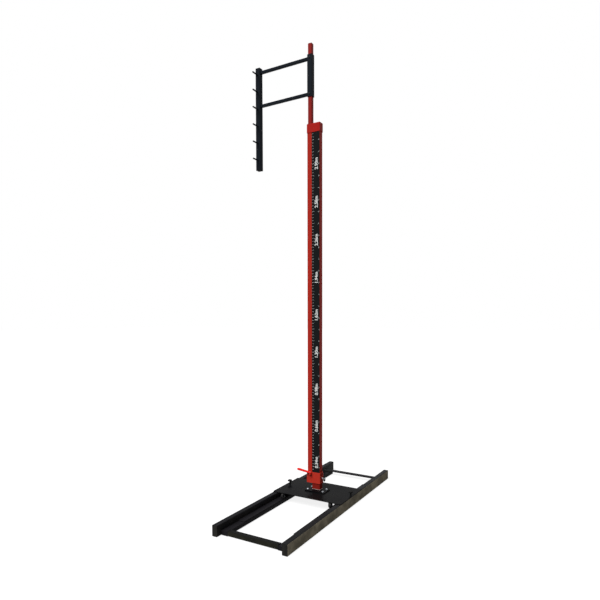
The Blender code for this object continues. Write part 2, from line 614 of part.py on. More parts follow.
def column():
    """The two-chamber column, the scale on its front and the cap with the mast's guide bush."""
    outline = rectangle(COLUMN_WIDTH, COLUMN_DEPTH, COLUMN_CORNER, (COLUMN_X, 0.0))
    holes = []
    for left, right in (LEFT_CHAMBER, RIGHT_CHAMBER):
        holes.append(rectangle(right - left, CHAMBER_DEPTH, 0.0, ((left + right) / 2, 0.0)))
    body = add_part("column_extrusion", prism(outline, holes, COLUMN_BOTTOM, COLUMN_TOP), "red_paint",
                    (0.0, COLUMN_Y, 0.0))
    hole = pins([(0.0, 0.0)], SHAFT_RADIUS + SEAT, 0.0, COLUMN_WIDTH)
    shaft_hole = add_tool("shaft_hole", hole, (SPIGOT_X, COLUMN_Y, SHAFT_HEIGHT), "X")
    combine(body, shaft_hole, "DIFFERENCE")
    collar_outer = rectangle(COLLAR_WIDTH, COLLAR_DEPTH, COLLAR_CORNER)
    collar_inner = rectangle(COLUMN_WIDTH + 2 * SLIDE_GAP, COLUMN_DEPTH + 2 * SLIDE_GAP, COLUMN_CORNER)
    collar = add_part("lower_collar", tube(collar_outer, collar_inner, COLLAR_BOTTOM, COLLAR_TOP),
                      "red_paint", (COLUMN_X, COLUMN_Y, 0.0))
    ear_back = LEVER_FORWARD + COLLAR_WALL / 2
    front = [math.radians(180 + 180 * k / 8) for k in range(9)]
    ear = [(LEVER_ROOT_RADIUS * math.cos(a), LEVER_ROOT_RADIUS * math.sin(a)) for a in front]
    ear += [(LEVER_ROOT_RADIUS, ear_back), (-LEVER_ROOT_RADIUS, ear_back)]
    ear_tool = add_tool("lever_ear", loft([(ear, EAR_BOTTOM), (ear, EAR_TOP)]),
                        (LEVER_X, LEVER_Y, 0.0))
    combine(collar, ear_tool, "UNION")
    pin_hole = pins([(0.0, 0.0)], LEVER_PIN_RADIUS + SEAT, EAR_BOTTOM - EAR_HEIGHT, LEVER_TOP)
    combine(collar, add_tool("ear_hole", pin_hole, (LEVER_X, LEVER_Y, 0.0)), "DIFFERENCE")
    combine(collar, shaft_hole, "DIFFERENCE")
    scale_left = DIVIDER_X
    scale_right = COLUMN_RIGHT - SCALE_SIDE_INSET
    strip = rectangle(scale_right - scale_left, SCALE_THICKNESS)
    add_part("scale_strip", loft([(strip, COLLAR_TOP + SCALE_END_GAP), (strip, CAP_BOTTOM - SCALE_END_GAP)]),
             "scale_black", ((scale_left + scale_right) / 2,
                             COLUMN_FRONT - SEAT - SCALE_THICKNESS / 2, 0.0))


def column_cap():
    """The cap that houses the top pulley, and the bush that guides the mast through its roof."""
    fit = SLIDE_GAP + CAP_WALL
    outer = rectangle(COLUMN_WIDTH + 2 * fit, COLUMN_DEPTH + 2 * fit, CAP_ROUNDING)
    shoulder = rectangle(COLUMN_WIDTH + 2 * fit - CAP_ROUNDING * 0.6,
                         COLUMN_DEPTH + 2 * fit - CAP_ROUNDING * 0.6, CAP_ROUNDING)
    crown = rectangle(COLUMN_WIDTH + 2 * fit - CAP_ROUNDING * 2, COLUMN_DEPTH + 2 * fit - CAP_ROUNDING * 2,
                      CAP_ROUNDING)
    skirt = rectangle(COLUMN_WIDTH + 2 * SLIDE_GAP, COLUMN_DEPTH + 2 * SLIDE_GAP, COLUMN_CORNER)
    room = rectangle(COLUMN_WIDTH - 2 * COLUMN_WALL, CHAMBER_DEPTH, COLUMN_CORNER / 2)
    seat = COLUMN_TOP + SEAT
    bm = loft([(room, CAP_CEILING), (room, seat), (skirt, seat), (skirt, CAP_BOTTOM), (outer, CAP_BOTTOM),
               (outer, CAP_TOP - CAP_ROUNDING), (shoulder, CAP_TOP - CAP_ROUNDING * 0.3),
               (crown, CAP_TOP)])
    cap = add_part("column_cap", bm, "red_paint", (COLUMN_X, COLUMN_Y, 0.0))
    bush_bore = MAST_SIZE + 2 * SEAT
    bush_size = bush_bore + 2 * BUSH_WALL
    hole = rectangle(bush_size + 2 * SEAT, bush_size + 2 * SEAT, MAST_CORNER)
    hole_bm = loft([(hole, CAP_CEILING - CAP_ROOF), (hole, CAP_TOP + CAP_ROOF)])
    combine(cap, add_tool("bush_hole", hole_bm, (MAST_X, COLUMN_Y, 0.0)), "DIFFERENCE")
    axle_hole = pins([(0.0, 0.0)], PULLEY_AXLE_RADIUS + SEAT, -COLUMN_DEPTH, COLUMN_DEPTH)
    combine(cap, add_tool("pulley_axle_hole", axle_hole, (PULLEY_X, COLUMN_Y, PULLEY_Z), "Y"),
            "DIFFERENCE")
    flange_size = bush_size + 2 * BUSH_FLANGE_WIDTH
    bore = rectangle(bush_bore, bush_bore, MAST_CORNER)
    body = rectangle(bush_size, bush_size, MAST_CORNER)
    flange = rectangle(flange_size, flange_size, MAST_CORNER)
    flange_bottom = CAP_TOP + SEAT
    bm = loft([(bore, CAP_CEILING), (body, CAP_CEILING), (body, flange_bottom), (flange, flange_bottom),
               (flange, flange_bottom + BUSH_FLANGE_THICKNESS),
               (bore, flange_bottom + BUSH_FLANGE_THICKNESS)], ring=True)
    add_part("mast_guide_bush", bm, "black_plastic", (MAST_X, COLUMN_Y, 0.0))


def lock_lever():
    """The flat lever in front of the collar, which rises to its broad tip, and the pin that it turns on."""
    outline = capsule(LEVER_ROOT_RADIUS, LEVER_TIP_RADIUS, LEVER_LENGTH)
    hole = circle(LEVER_PIN_RADIUS + SEAT, 20)
    blade = prism(outline, [hole], LEVER_BOTTOM, LEVER_TOP)
    for vertex in blade.verts:
        vertex.co.z -= LEVER_SLOPE * vertex.co.x
    add_part("lock_lever", blade, "lever_red", (LEVER_X, LEVER_Y, 0.0))
    shank = circle(LEVER_PIN_RADIUS, 20)
    head = circle(LEVER_PIN_HEAD_RADIUS, 20)
    head_bottom = LEVER_TOP + LEVER_SLOPE * LEVER_PIN_HEAD_RADIUS + SEAT
    bm = loft([(shank, EAR_BOTTOM + SEAT), (shank, head_bottom), (head, head_bottom),
               (head, head_bottom + LEVER_PIN_HEAD)])
    add_part("lever_pin", bm, "zinc", (LEVER_X, LEVER_Y, 0.0), "Z", True)


def winch():
    """The winch shaft with its drum, crank arm and turning grip."""
    at = (0.0, COLUMN_Y, SHAFT_HEIGHT)
    shaft = circle(SHAFT_RADIUS)
    left = SPIGOT_X - SPIGOT_WIDTH / 2
    add_part("crank_shaft", loft([(shaft, left), (shaft, CRANK_ARM_X + CRANK_ARM_THICKNESS)]),
             "zinc", at, "X", True)
    bore = circle(SHAFT_RADIUS + SEAT)
    core = circle(DRUM_CORE_RADIUS)
    flange = circle(DRUM_FLANGE_RADIUS)
    half = DRUM_LENGTH / 2
    inside = half - DRUM_FLANGE_THICKNESS
    bm = loft([(bore, -half), (flange, -half), (flange, -inside), (core, -inside), (core, inside),
               (flange, inside), (flange, half), (bore, half)], ring=True)
    add_part("winch_drum", bm, "zinc", (DRUM_X, COLUMN_Y, SHAFT_HEIGHT), "X", True)
    outline = capsule(CRANK_ARM_RADIUS, CRANK_ARM_RADIUS, CRANK_THROW + CRANK_ARM_TAIL)
    outline = [(x + CRANK_ARM_TAIL, y) for x, y in outline]
    holes = [circle(SHAFT_RADIUS + SEAT), circle(GRIP_SPINDLE_RADIUS + SEAT, 20, (-CRANK_THROW, 0.0))]
    add_part("crank_arm", prism(outline, holes, CRANK_ARM_X, CRANK_ARM_X + CRANK_ARM_THICKNESS),
             "black_paint", at, "X")
    spindle = circle(GRIP_SPINDLE_RADIUS, 20)
    rivet = circle(GRIP_RIVET_RADIUS, 20)
    grip = circle(GRIP_RADIUS, 20)
    grip_end = circle(GRIP_RADIUS * 0.8, 20)
    inner = CRANK_ARM_X - SEAT
    outer = CRANK_ARM_X + CRANK_ARM_THICKNESS + SEAT
    tip = outer + GRIP_LENGTH
    bm = loft([(rivet, inner - GRIP_RIVET_THICKNESS), (rivet, inner), (spindle, inner), (spindle, outer),
               (grip_end, outer), (grip, outer + GRIP_RADIUS / 4), (grip, tip - GRIP_RADIUS / 4),
               (grip_end, tip)])
    add_part("crank_grip", bm, "black_plastic", (0.0, COLUMN_Y, SHAFT_HEIGHT + CRANK_THROW), "X", True)


def top_pulley():
    """The grooved pulley over the column, which turns the cable down to the mast's foot."""
    half = PULLEY_RIM_WIDTH / 2
    web = PULLEY_WEB_WIDTH / 2
    hub = CHAMBER_DEPTH / 2 - SLIDE_GAP
    groove = PULLEY_CABLE_RADIUS - CABLE_RADIUS - SLIDE_GAP
    groove_half = CABLE_RADIUS + SEAT
    rim_inner = groove - (half - web)
    profile = [(PULLEY_AXLE_RADIUS + SEAT, -hub), (PULLEY_HUB_RADIUS, -hub), (PULLEY_HUB_RADIUS, -web),
               (rim_inner, -web), (rim_inner, -half), (PULLEY_RADIUS, -half),
               (groove, -groove_half), (groove, groove_half), (PULLEY_RADIUS, half),
               (rim_inner, half), (rim_inner, web), (PULLEY_HUB_RADIUS, web), (PULLEY_HUB_RADIUS, hub),
               (PULLEY_AXLE_RADIUS + SEAT, hub)]
    at = (PULLEY_X, COLUMN_Y, PULLEY_Z)
    add_part("top_pulley", loft([(circle(r), z) for r, z in profile], ring=True), "nylon", at, "Y", True)
    pin = circle(PULLEY_AXLE_RADIUS)
    pin_half = COLUMN_DEPTH / 2 + SLIDE_GAP + CAP_WALL
    add_part("pulley_axle", loft([(pin, -pin_half), (pin, pin_half)]), "red_paint", at, "Y", True)


def cable_route():
    """Returns the cable's points: round the drum, up, over the pulley and down to the mast's foot."""
    points = []
    right_x = PULLEY_X + PULLEY_CABLE_RADIUS
    steps = CABLE_TURNS * CABLE_TURN_POINTS
    for k in range(steps + 1):
        left = (steps - k) / CABLE_TURN_POINTS
        angle = math.pi + 2 * math.pi * left
        points.append(Vector((right_x - CABLE_PITCH * left,
                              COLUMN_Y + CABLE_DRUM_RADIUS * math.cos(angle),
                              SHAFT_HEIGHT + CABLE_DRUM_RADIUS * math.sin(angle))))
    half_turn = CABLE_TURN_POINTS // 2
    for k in range(half_turn + 1):
        angle = math.pi * k / half_turn
        points.append(Vector((PULLEY_X + PULLEY_CABLE_RADIUS * math.cos(angle), COLUMN_Y,
                              PULLEY_Z + PULLEY_CABLE_RADIUS * math.sin(angle))))
    points.append(Vector((CABLE_X, COLUMN_Y, MAST_BOTTOM - SEAT - SHOE_THICKNESS / 2)))
    return points


def lifting_cable():
    """The wire cable, as one unbroken tube along its real route."""
    curve = bpy.data.curves.new("lifting_cable", "CURVE")
    curve.dimensions = "3D"
    curve.bevel_depth = CABLE_RADIUS
    curve.bevel_resolution = 1
    curve.use_fill_caps = True
    points = cable_route()
    spline = curve.splines.new("POLY")
    spline.points.add(len(points) - 1)
    for slot, point in zip(spline.points, points):
        slot.co = (*point, 1.0)
    curve.materials.append(paint("lifting_cable", "wire"))
    place(bpy.data.objects.new("lifting_cable", curve), (0.0, 0.0, 0.0))
    wound = points[:CABLE_TURNS * CABLE_TURN_POINTS + 1]
    least = min((a - b).length for k, a in enumerate(wound) for b in wound[k + CABLE_TURN_POINTS // 2:])
    print(f"least gap between the cable's turns: {(least - 2 * CABLE_RADIUS) * 1000:.2f} mm")


def mast():
    """The sliding mast with its top plug and the shoe that guides its foot."""
    outer = rectangle(MAST_SIZE, MAST_SIZE, MAST_CORNER)
    inner = rectangle(MAST_SIZE - 2 * MAST_WALL, MAST_SIZE - 2 * MAST_WALL, MAST_CORNER - MAST_WALL)
    add_part("mast_tube", tube(outer, inner, MAST_BOTTOM, MAST_TOP), "red_paint", (MAST_X, COLUMN_Y, 0.0))
    plug_size = MAST_SIZE - 2 * (MAST_WALL + SEAT)
    plug = rectangle(plug_size, plug_size, MAST_CORNER - MAST_WALL)
    edge = rectangle(MAST_SIZE - MAST_PLUG_THICKNESS, MAST_SIZE - MAST_PLUG_THICKNESS, MAST_CORNER)
    lid_bottom = MAST_TOP + SEAT
    bm = loft([(plug, MAST_TOP - MAST_PLUG_DEPTH), (plug, lid_bottom), (outer, lid_bottom),
               (outer, lid_bottom + MAST_PLUG_THICKNESS / 2), (edge, lid_bottom + MAST_PLUG_THICKNESS)])
    add_part("mast_top_plug", bm, "black_plastic", (MAST_X, COLUMN_Y, 0.0))
    shoe_left = LEFT_CHAMBER[0] + SLIDE_GAP
    shoe_right = LEFT_CHAMBER[1] - SLIDE_GAP
    sole = rectangle(shoe_right - shoe_left, CHAMBER_DEPTH - 2 * SLIDE_GAP, MAST_CORNER / 2,
                     ((shoe_left + shoe_right) / 2 - MAST_X, 0.0))
    shoe_plug = rectangle(plug_size, plug_size, MAST_CORNER / 2)
    sole_top = MAST_BOTTOM - SEAT
    bm = loft([(sole, sole_top - SHOE_THICKNESS), (sole, sole_top), (shoe_plug, sole_top),
               (shoe_plug, sole_top + SHOE_PLUG)])
    shoe = add_part("mast_foot_shoe", bm, "black_plastic", (MAST_X, COLUMN_Y, 0.0))
    slot_left = CABLE_X - CABLE_RADIUS - SLIDE_GAP
    slot_width = 2 * (shoe_right - slot_left)
    slot = rectangle(slot_width, 2 * (CABLE_RADIUS + SLIDE_GAP))
    slot_bm = loft([(slot, sole_top - 2 * SHOE_THICKNESS), (slot, sole_top + SHOE_THICKNESS)])
    combine(shoe, add_tool("cable_slot", slot_bm, (slot_left + slot_width / 2, COLUMN_Y, 0.0)),
            "DIFFERENCE")


def bracket():
    """The sleeve on the mast with its screws, the two arms and the peg bar with its pegs."""
    outer = rectangle(SLEEVE_SIZE, SLEEVE_SIZE, SLEEVE_CORNER)
    inner_size = MAST_SIZE + 2 * SLIDE_GAP
    inner = rectangle(inner_size, inner_size, MAST_CORNER)
    sleeve = add_part("bracket_sleeve", tube(outer, inner, SLEEVE_BOTTOM, SLEEVE_TOP), "black_paint",
                      (MAST_X, COLUMN_Y, 0.0))
    screw_heights = (SLEEVE_BOTTOM + SCREW_INSET, SLEEVE_TOP - SCREW_INSET)
    # A piece turned to Y has its own Y up, and its own Z towards the front.
    holes = pins([(0.0, z) for z in screw_heights], SCREW_RADIUS + SEAT, 0.0, SLEEVE_SIZE, 20)
    combine(sleeve, add_tool("screw_holes", holes, (MAST_X, COLUMN_Y, 0.0), "Y"), "DIFFERENCE")
    shank = circle(SCREW_RADIUS, 20)
    head = circle(SCREW_HEAD_RADIUS, 20)
    crown = circle(SCREW_HEAD_RADIUS * 0.85, 20)
    base = SLEEVE_SIZE / 2 + SEAT
    for number, z in enumerate(screw_heights, 1):
        bm = loft([(shank, MAST_SIZE / 2 + SEAT), (shank, base), (head, base),
                   (head, base + SCREW_HEAD * 0.7), (crown, base + SCREW_HEAD)])
        add_part(f"sleeve_screw_{number}", bm, "zinc", (MAST_X, COLUMN_Y, z), "Y", True)
    arm_outer = rectangle(ARM_SIZE, ARM_SIZE, ARM_CORNER)
    arm_inner = rectangle(ARM_SIZE - 2 * ARM_WALL, ARM_SIZE - 2 * ARM_WALL, ARM_CORNER - ARM_WALL)
    arm_left = BAR_X + BAR_SIZE / 2 + SEAT
    arm_right = SLEEVE_LEFT - SEAT
    for label, z in zip(("upper", "lower"), ARM_HEIGHTS):
        add_part(f"arm_{label}", tube(arm_outer, arm_inner, arm_left, arm_right), "black_paint",
                 (0.0, COLUMN_Y, z), "X")
    peg_bar()


def peg_bar():
    """The upright bar with its two end caps and the row of pegs that carry the crossbar."""
    outer = rectangle(BAR_SIZE, BAR_SIZE, BAR_CORNER)
    hollow = BAR_SIZE - 2 * BAR_WALL
    inner = rectangle(hollow, hollow, BAR_CORNER - BAR_WALL)
    bar = add_part("peg_bar", tube(outer, inner, BAR_BOTTOM, BAR_TOP), "black_paint",
                   (BAR_X, COLUMN_Y, 0.0))
    heights = [PEG_TOP_HEIGHT - PEG_PITCH * k for k in range(PEG_COUNT)]
    holes = pins([(0.0, z) for z in heights], PEG_RADIUS + SEAT, 0.0, BAR_SIZE, 20)
    combine(bar, add_tool("peg_holes", holes, (BAR_X, COLUMN_Y, 0.0), "Y"), "DIFFERENCE")
    plug = rectangle(hollow - 2 * SEAT, hollow - 2 * SEAT, BAR_CORNER - BAR_WALL)
    sections = [(plug, -MAST_PLUG_DEPTH), (plug, SEAT), (outer, SEAT), (outer, SEAT + BAR_CAP_THICKNESS)]
    for label, way, z in (("top", 1, BAR_TOP), ("bottom", -1, BAR_BOTTOM)):
        bm = loft([(outline, way * height) for outline, height in sections])
        add_part(f"peg_bar_cap_{label}", bm, "black_plastic", (BAR_X, COLUMN_Y, z))
    shank = circle(PEG_RADIUS, 20)
    ring = circle(PEG_RADIUS - PEG_TIP_ROUNDING * 0.3, 20)
    tip = circle(PEG_RADIUS - PEG_TIP_ROUNDING, 20)
    root = -hollow / 2 + SEAT
    reach = BAR_SIZE / 2 + PEG_LENGTH
    for number, z in enumerate(heights, 1):
        bm = loft([(shank, root), (shank, reach - PEG_TIP_ROUNDING), (ring, reach - PEG_TIP_ROUNDING * 0.3),
                   (tip, reach)])
        add_part(f"peg_{number}", bm, "black_paint", (BAR_X, COLUMN_Y, z), "Y", True)


def main():
    """Builds the whole stand."""
    clear_scene()
    floor_frame()
    trolley_plate()
    track_rollers()
    clamp_knobs()
    column_foot()
    column()
    column_cap()
    lock_lever()
    winch()
    top_pulley()
    lifting_cable()
    mast()
    bracket()


main()
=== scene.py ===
"""Dresses the packed pole vault standard, and sets up its camera, light and floor.

Metres, +Z up, in the frame of the packed model. The base frame runs along Y, the pegs point to -Y and the
crank is on the +X side. A shape is worked out about its own Z, then laid along a world axis and put in place
in its mesh, so that every object sits at the origin.
"""
import sys

import json
import logging
import math
from dataclasses import dataclass
from enum import Enum
from functools import cached_property
from typing import Callable, Iterable, Mapping, Sequence

import bmesh
import bpy
import numpy as np
from mathutils import Matrix, Vector

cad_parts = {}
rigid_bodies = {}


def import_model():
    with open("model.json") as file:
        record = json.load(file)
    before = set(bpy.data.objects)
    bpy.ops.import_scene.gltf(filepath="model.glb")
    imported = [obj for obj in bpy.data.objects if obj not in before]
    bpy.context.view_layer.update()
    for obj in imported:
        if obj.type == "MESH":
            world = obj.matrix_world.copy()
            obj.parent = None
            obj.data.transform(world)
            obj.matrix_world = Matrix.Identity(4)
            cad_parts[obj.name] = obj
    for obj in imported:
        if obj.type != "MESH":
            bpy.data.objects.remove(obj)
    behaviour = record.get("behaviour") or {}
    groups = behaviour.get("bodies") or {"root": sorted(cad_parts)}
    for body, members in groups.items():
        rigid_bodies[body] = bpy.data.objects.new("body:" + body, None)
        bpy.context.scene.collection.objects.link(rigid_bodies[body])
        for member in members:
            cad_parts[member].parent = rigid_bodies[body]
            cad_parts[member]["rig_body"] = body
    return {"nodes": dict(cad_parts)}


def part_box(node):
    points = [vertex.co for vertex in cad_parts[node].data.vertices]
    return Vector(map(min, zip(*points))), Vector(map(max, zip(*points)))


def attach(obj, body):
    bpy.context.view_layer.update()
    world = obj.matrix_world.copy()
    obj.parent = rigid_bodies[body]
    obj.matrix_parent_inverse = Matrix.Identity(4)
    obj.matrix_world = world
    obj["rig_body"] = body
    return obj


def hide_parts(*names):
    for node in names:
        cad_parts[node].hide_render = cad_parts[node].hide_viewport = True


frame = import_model()
LOG = logging.getLogger("standard")

Socket = bpy.types.NodeSocket
Colour = tuple[float, float, float, float]
Triple = tuple[float, float, float]
Rows = Sequence[Sequence[float]]

MERGE = 2e-6                    # points nearer to each other than this are one
SMALLEST = 1e-5                 # least radius of a corner
CORNER_STEPS = 8                # facets in a tube's round corner
EASE_STEPS = 4                  # facets across an eased edge
TURN_STEPS = 48                 # facets round a turned piece
WELD_STEPS = 10                 # facets round a weld bead
SHARP = 38.0                    # edges that bend more than this, in degrees, stay sharp
SEAT = 0.0003                   # the gap between two seated pieces
TIP = 0.0004                    # radius at which a turned piece closes on its axis
SIDES = {"left": -1, "right": 1}
ALONG_X = (1, 0, 0)
WHITE: Colour = (1.0, 1.0, 1.0, 1.0)


class Axis(Enum):
    """The world axis that a piece's own Z lies along."""

    X = 0
    Y = 1
    Z = 2

    def turn(self, points: np.ndarray) -> np.ndarray:
        """Lays (u, v, w) as (w, u, v) for X, (v, w, u) for Y and (u, v, w) for Z."""
        return np.roll(points, self.value + 1, axis=-1)

    def own(self, size: np.ndarray) -> np.ndarray:
        """Returns a world size as the piece's own (u, v, w)."""
        return np.roll(size, -(self.value + 1))


@dataclass(frozen=True)
class Box:
    """The room that a CAD node takes up at rest."""

    low: np.ndarray
    high: np.ndarray

    @classmethod
    def of(cls, node: str) -> "Box":
        """Reads a node's box."""
        low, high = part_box(node)
        return cls(np.array(low), np.array(high))

    @property
    def centre(self) -> np.ndarray:
        """The middle of the box."""
        return (self.low + self.high) / 2

    @property
    def size(self) -> np.ndarray:
        """The box's three lengths."""
        return self.high - self.low

    @property
    def foot(self) -> Triple:
        """The floor's point under the middle of the box."""
        return (self.centre[0], self.centre[1], 0.0)


@dataclass(frozen=True)
class Shell:
    """Closed surfaces, as points and as groups of faces with the same number of corners."""

    points: np.ndarray
    faces: tuple[np.ndarray, ...]

    def laid(self, axis: Axis, at: Sequence[float]) -> "Shell":
        """Lays the shell's own Z along an axis, and puts its origin at a point."""
        return Shell(axis.turn(self.points) + np.asarray(at, float), self.faces)

    def repeated(self, steps: np.ndarray) -> "Shell":
        """Copies the shell to each of the given steps."""
        steps = np.asarray(steps, float)
        points = (self.points[None] + steps[:, None]).reshape(-1, 3)
        shift = (np.arange(len(steps)) * len(self.points))[:, None, None]
        faces = tuple((group[None] + shift).reshape(-1, group.shape[1]) for group in self.faces)
        return Shell(points, faces)


def joined(shells: Iterable[Shell]) -> Shell:
    """Puts shells together in one.

    Args:
        shells: The shells, which may touch or cross.

    Returns:
        One shell with all their points and faces.
    """
    shells = list(shells)
    starts = np.cumsum([0] + [len(shell.points) for shell in shells[:-1]])
    faces = tuple(group + start for shell, start in zip(shells, starts) for group in shell.faces)
    return Shell(np.concatenate([shell.points for shell in shells]), faces)


def skin(rows: np.ndarray, ring: bool = False) -> Shell:
    """Joins rows of points into a closed surface.

    Each row is a closed loop, tied to the next one by quads.

    Args:
        rows: Points as (row, place in the row, xyz).
        ring: Ties the last row to the first. Otherwise a flat face closes either end.

    Returns:
        The closed shell.
    """
    index = np.arange(rows.shape[0] * rows.shape[1]).reshape(rows.shape[:2])
    beside = np.roll(index, -1, axis=1)
    lower, lower_beside = (index, beside) if ring else (index[:-1], beside[:-1])
    upper, upper_beside = np.roll(index, -1, axis=0), np.roll(beside, -1, axis=0)
    if not ring:
        upper, upper_beside = upper[:-1], upper_beside[:-1]
    quads = np.stack([lower, lower_beside, upper_beside, upper], axis=-1).reshape(-1, 4)
    ends = () if ring else (index[:1], index[-1:])
    return Shell(rows.reshape(-1, 3), (quads, *ends))


def eased(points: np.ndarray, reach: float, steps: int = EASE_STEPS, closed: bool = False) -> np.ndarray:
    """Rounds the corners of a line.

    A corner p becomes the curve (1 - t)^2 a + 2 t (1 - t) p + t^2 b. The points a and b lie on its two sides,
    at the given reach from it, or halfway along a side that is shorter than twice that.

    Args:
        points: The line's corners, one a row.
        reach: How far from its corner a curve starts.
        steps: Parts of each curve.
        closed: The line runs on from its last corner to its first.

    Returns:
        The rounded line's points.
    """
    points = np.asarray(points, float)

    def towards(other: np.ndarray) -> np.ndarray:
        """Returns the points at the reach from each corner towards its neighbour."""
        span = other - points
        length = np.maximum(np.linalg.norm(span, axis=1, keepdims=True), SMALLEST)
        return points + span * np.minimum(reach / length, 0.5)

    t = np.linspace(0, 1, steps + 1)[None, :, None]
    start = towards(np.roll(points, 1, axis=0))[:, None]
    finish = towards(np.roll(points, -1, axis=0))[:, None]
    curve = (1 - t) ** 2 * start + 2 * t * (1 - t) * points[:, None] + t ** 2 * finish
    if closed:
        return curve.reshape(-1, points.shape[1])
    line = curve[1:-1].reshape(-1, points.shape[1])
    return np.concatenate([points[:1], line, points[-1:]])


def resampled(path: np.ndarray, step: float) -> np.ndarray:
    """Walks along a path, and returns points an even step apart.

    Args:
        path: The path's points.
        step: Length between two returned points, made a little less so that the last is the path's end.

    Returns:
        The even points.
    """
    along = np.concatenate([[0.0], np.cumsum(np.linalg.norm(np.diff(path, axis=0), axis=1))])
    even = np.linspace(0, along[-1], max(2, math.ceil(along[-1] / step) + 1))
    return np.stack([np.interp(even, along, path[:, k]) for k in range(3)], axis=-1)


def rectangle_rows(size: Sequence[float], radius: float, inset: np.ndarray, height: np.ndarray,
                   steps: int = CORNER_STEPS) -> np.ndarray:
    """Stacks rectangles with round corners.

    Row k is the rectangle pulled in by inset[k] on every side, at height[k]. A point is the centre of its
    corner plus the corner's radius times (cos a, sin a), with a running over a quarter turn, and the radius
    shrinks by the inset.

    Args:
        size: The rectangle's two lengths.
        radius: The radius of its corners.
        inset: What each row is pulled in by.
        height: Where each row lies along the piece's own Z.
        steps: Facets in a corner.

    Returns:
        Points as (row, place in the row, xyz).
    """
    inset = np.asarray(inset, float)[:, None, None]
    starts = np.array([-0.5, 0.0, 0.5, 1.0])[:, None] * math.pi
    angle = (starts + np.linspace(0, math.pi / 2, steps + 1)).ravel()
    side = np.repeat([[1, -1], [1, 1], [-1, 1], [-1, -1]], steps + 1, axis=0)
    rounding = np.maximum(radius - inset, SMALLEST)
    centre = np.asarray(size, float) / 2 - inset - rounding
    loop = side * centre + rounding * np.stack([np.cos(angle), np.sin(angle)], axis=-1)
    heights = np.broadcast_to(np.asarray(height, float)[:, None, None], (*loop.shape[:2], 1))
    return np.concatenate([loop, heights], axis=-1)


def eased_ends(low: float, high: float, edge: float) -> tuple[np.ndarray, np.ndarray]:
    """Works out the insets and heights of a bar whose two ends have rounded edges.

    The edge is a quarter circle: the inset is e (1 - sin a) and the height e (1 - cos a) from the end.

    Args:
        low: The lower end.
        high: The upper end.
        edge: Radius of the rounded edge.

    Returns:
        The insets and the heights, row by row.
    """
    turn = np.linspace(0, math.pi / 2, EASE_STEPS + 1)
    pull = edge * (1 - np.sin(turn))
    rise = edge * (1 - np.cos(turn))
    return np.concatenate([pull, pull[::-1]]), np.concatenate([low + rise, high - rise[::-1]])


def bar(size: Sequence[float], radius: float, low: float, high: float, edge: float,
        wall: float | None = None) -> Shell:
    """Makes a straight bar with round corners and eased ends, or a tube where it gets a wall.

    Args:
        size: The cross-section's two lengths.
        radius: Radius of its four corners.
        low: Where it starts along its own Z.
        high: Where it ends.
        edge: Radius of the edge round each end.
        wall: Thickness of a tube's wall.

    Returns:
        The closed shell.
    """
    inset, height = eased_ends(low, high, edge)
    if wall is None:
        return skin(rectangle_rows(size, radius, inset, height))
    inset = np.append(inset, [wall, wall])
    height = np.append(height, [high, low])
    return skin(rectangle_rows(size, radius, inset, height), ring=True)


def capsule(root: float, tip: float, length: float, low: float, high: float, edge: float) -> Shell:
    """Makes a flat lever from a round root at the origin to a round tip at -length along its own X.

    Each row is half a circle about the root and half a circle about the tip, both with the row's inset off
    their radius.

    Args:
        root: Radius of the root.
        tip: Radius of the tip.
        length: Distance between the two centres.
        low: The lever's underside.
        high: Its upper side.
        edge: Radius of its edges.

    Returns:
        The closed shell.
    """
    inset, height = eased_ends(low, high, edge)
    angle = np.linspace(-math.pi / 2, math.pi / 2, TURN_STEPS // 2 + 1)
    circle = np.stack([np.cos(angle), np.sin(angle)], axis=-1)[None]
    pull = inset[:, None, None]
    loop = np.concatenate([circle * (root - pull), -circle * (tip - pull) - (length, 0.0)], axis=1)
    heights = np.broadcast_to(height[:, None, None], (*loop.shape[:2], 1))
    return skin(np.concatenate([loop, heights], axis=-1))


def turned(profile: Rows, count: int = TURN_STEPS, ring: bool = False,
           outline: Callable[[np.ndarray], np.ndarray] | None = None) -> Shell:
    """Carries a profile round its own Z.

    The point of row k at angle a is (r cos a, r sin a, h). With an outline, r is the row's radius times
    1 + w (f(a) - 1), where f is the outline's factor and w the row's third value.

    Args:
        profile: Radius and height of each row, with the outline's weight third where there is one.
        count: Facets round the piece.
        ring: Ties the last row to the first, as in a ring or a bushing.
        outline: Gives a factor for each angle.

    Returns:
        The closed shell.
    """
    rows = np.asarray(profile, float)
    angle = np.linspace(0, 2 * math.pi, count, endpoint=False)
    radius = np.repeat(rows[:, :1], count, axis=1)
    if outline is not None:
        radius = radius * (1 + rows[:, 2:3] * (outline(angle) - 1))
    height = np.broadcast_to(rows[:, 1:2], radius.shape)
    return skin(np.stack([radius * np.cos(angle), radius * np.sin(angle), height], axis=-1), ring)


def mirrored(profile: Rows) -> list[tuple[float, float]]:
    """Returns a profile's rows on the other side of height 0, in the opposite order."""
    return [(radius, -height) for radius, height in profile[::-1]]


def hexagonal(angle: np.ndarray) -> np.ndarray:
    """Gives a hexagon's radius over half its width: 1 / cos of the angle from the nearest flat."""
    return 1 / np.cos((angle + math.pi / 6) % (math.pi / 3) - math.pi / 6)


def lobes(number: int, depth: float) -> Callable[[np.ndarray], np.ndarray]:
    """Gives a hand knob's outline: 1 less a wave of the given depth, with that number of lobes.

    Args:
        number: How many lobes there are.
        depth: Depth of the hollows, as a share of the radius.

    Returns:
        A function that gives the factor for each angle.
    """
    return lambda angle: 1 - depth * (1 - np.cos(number * angle)) / 2


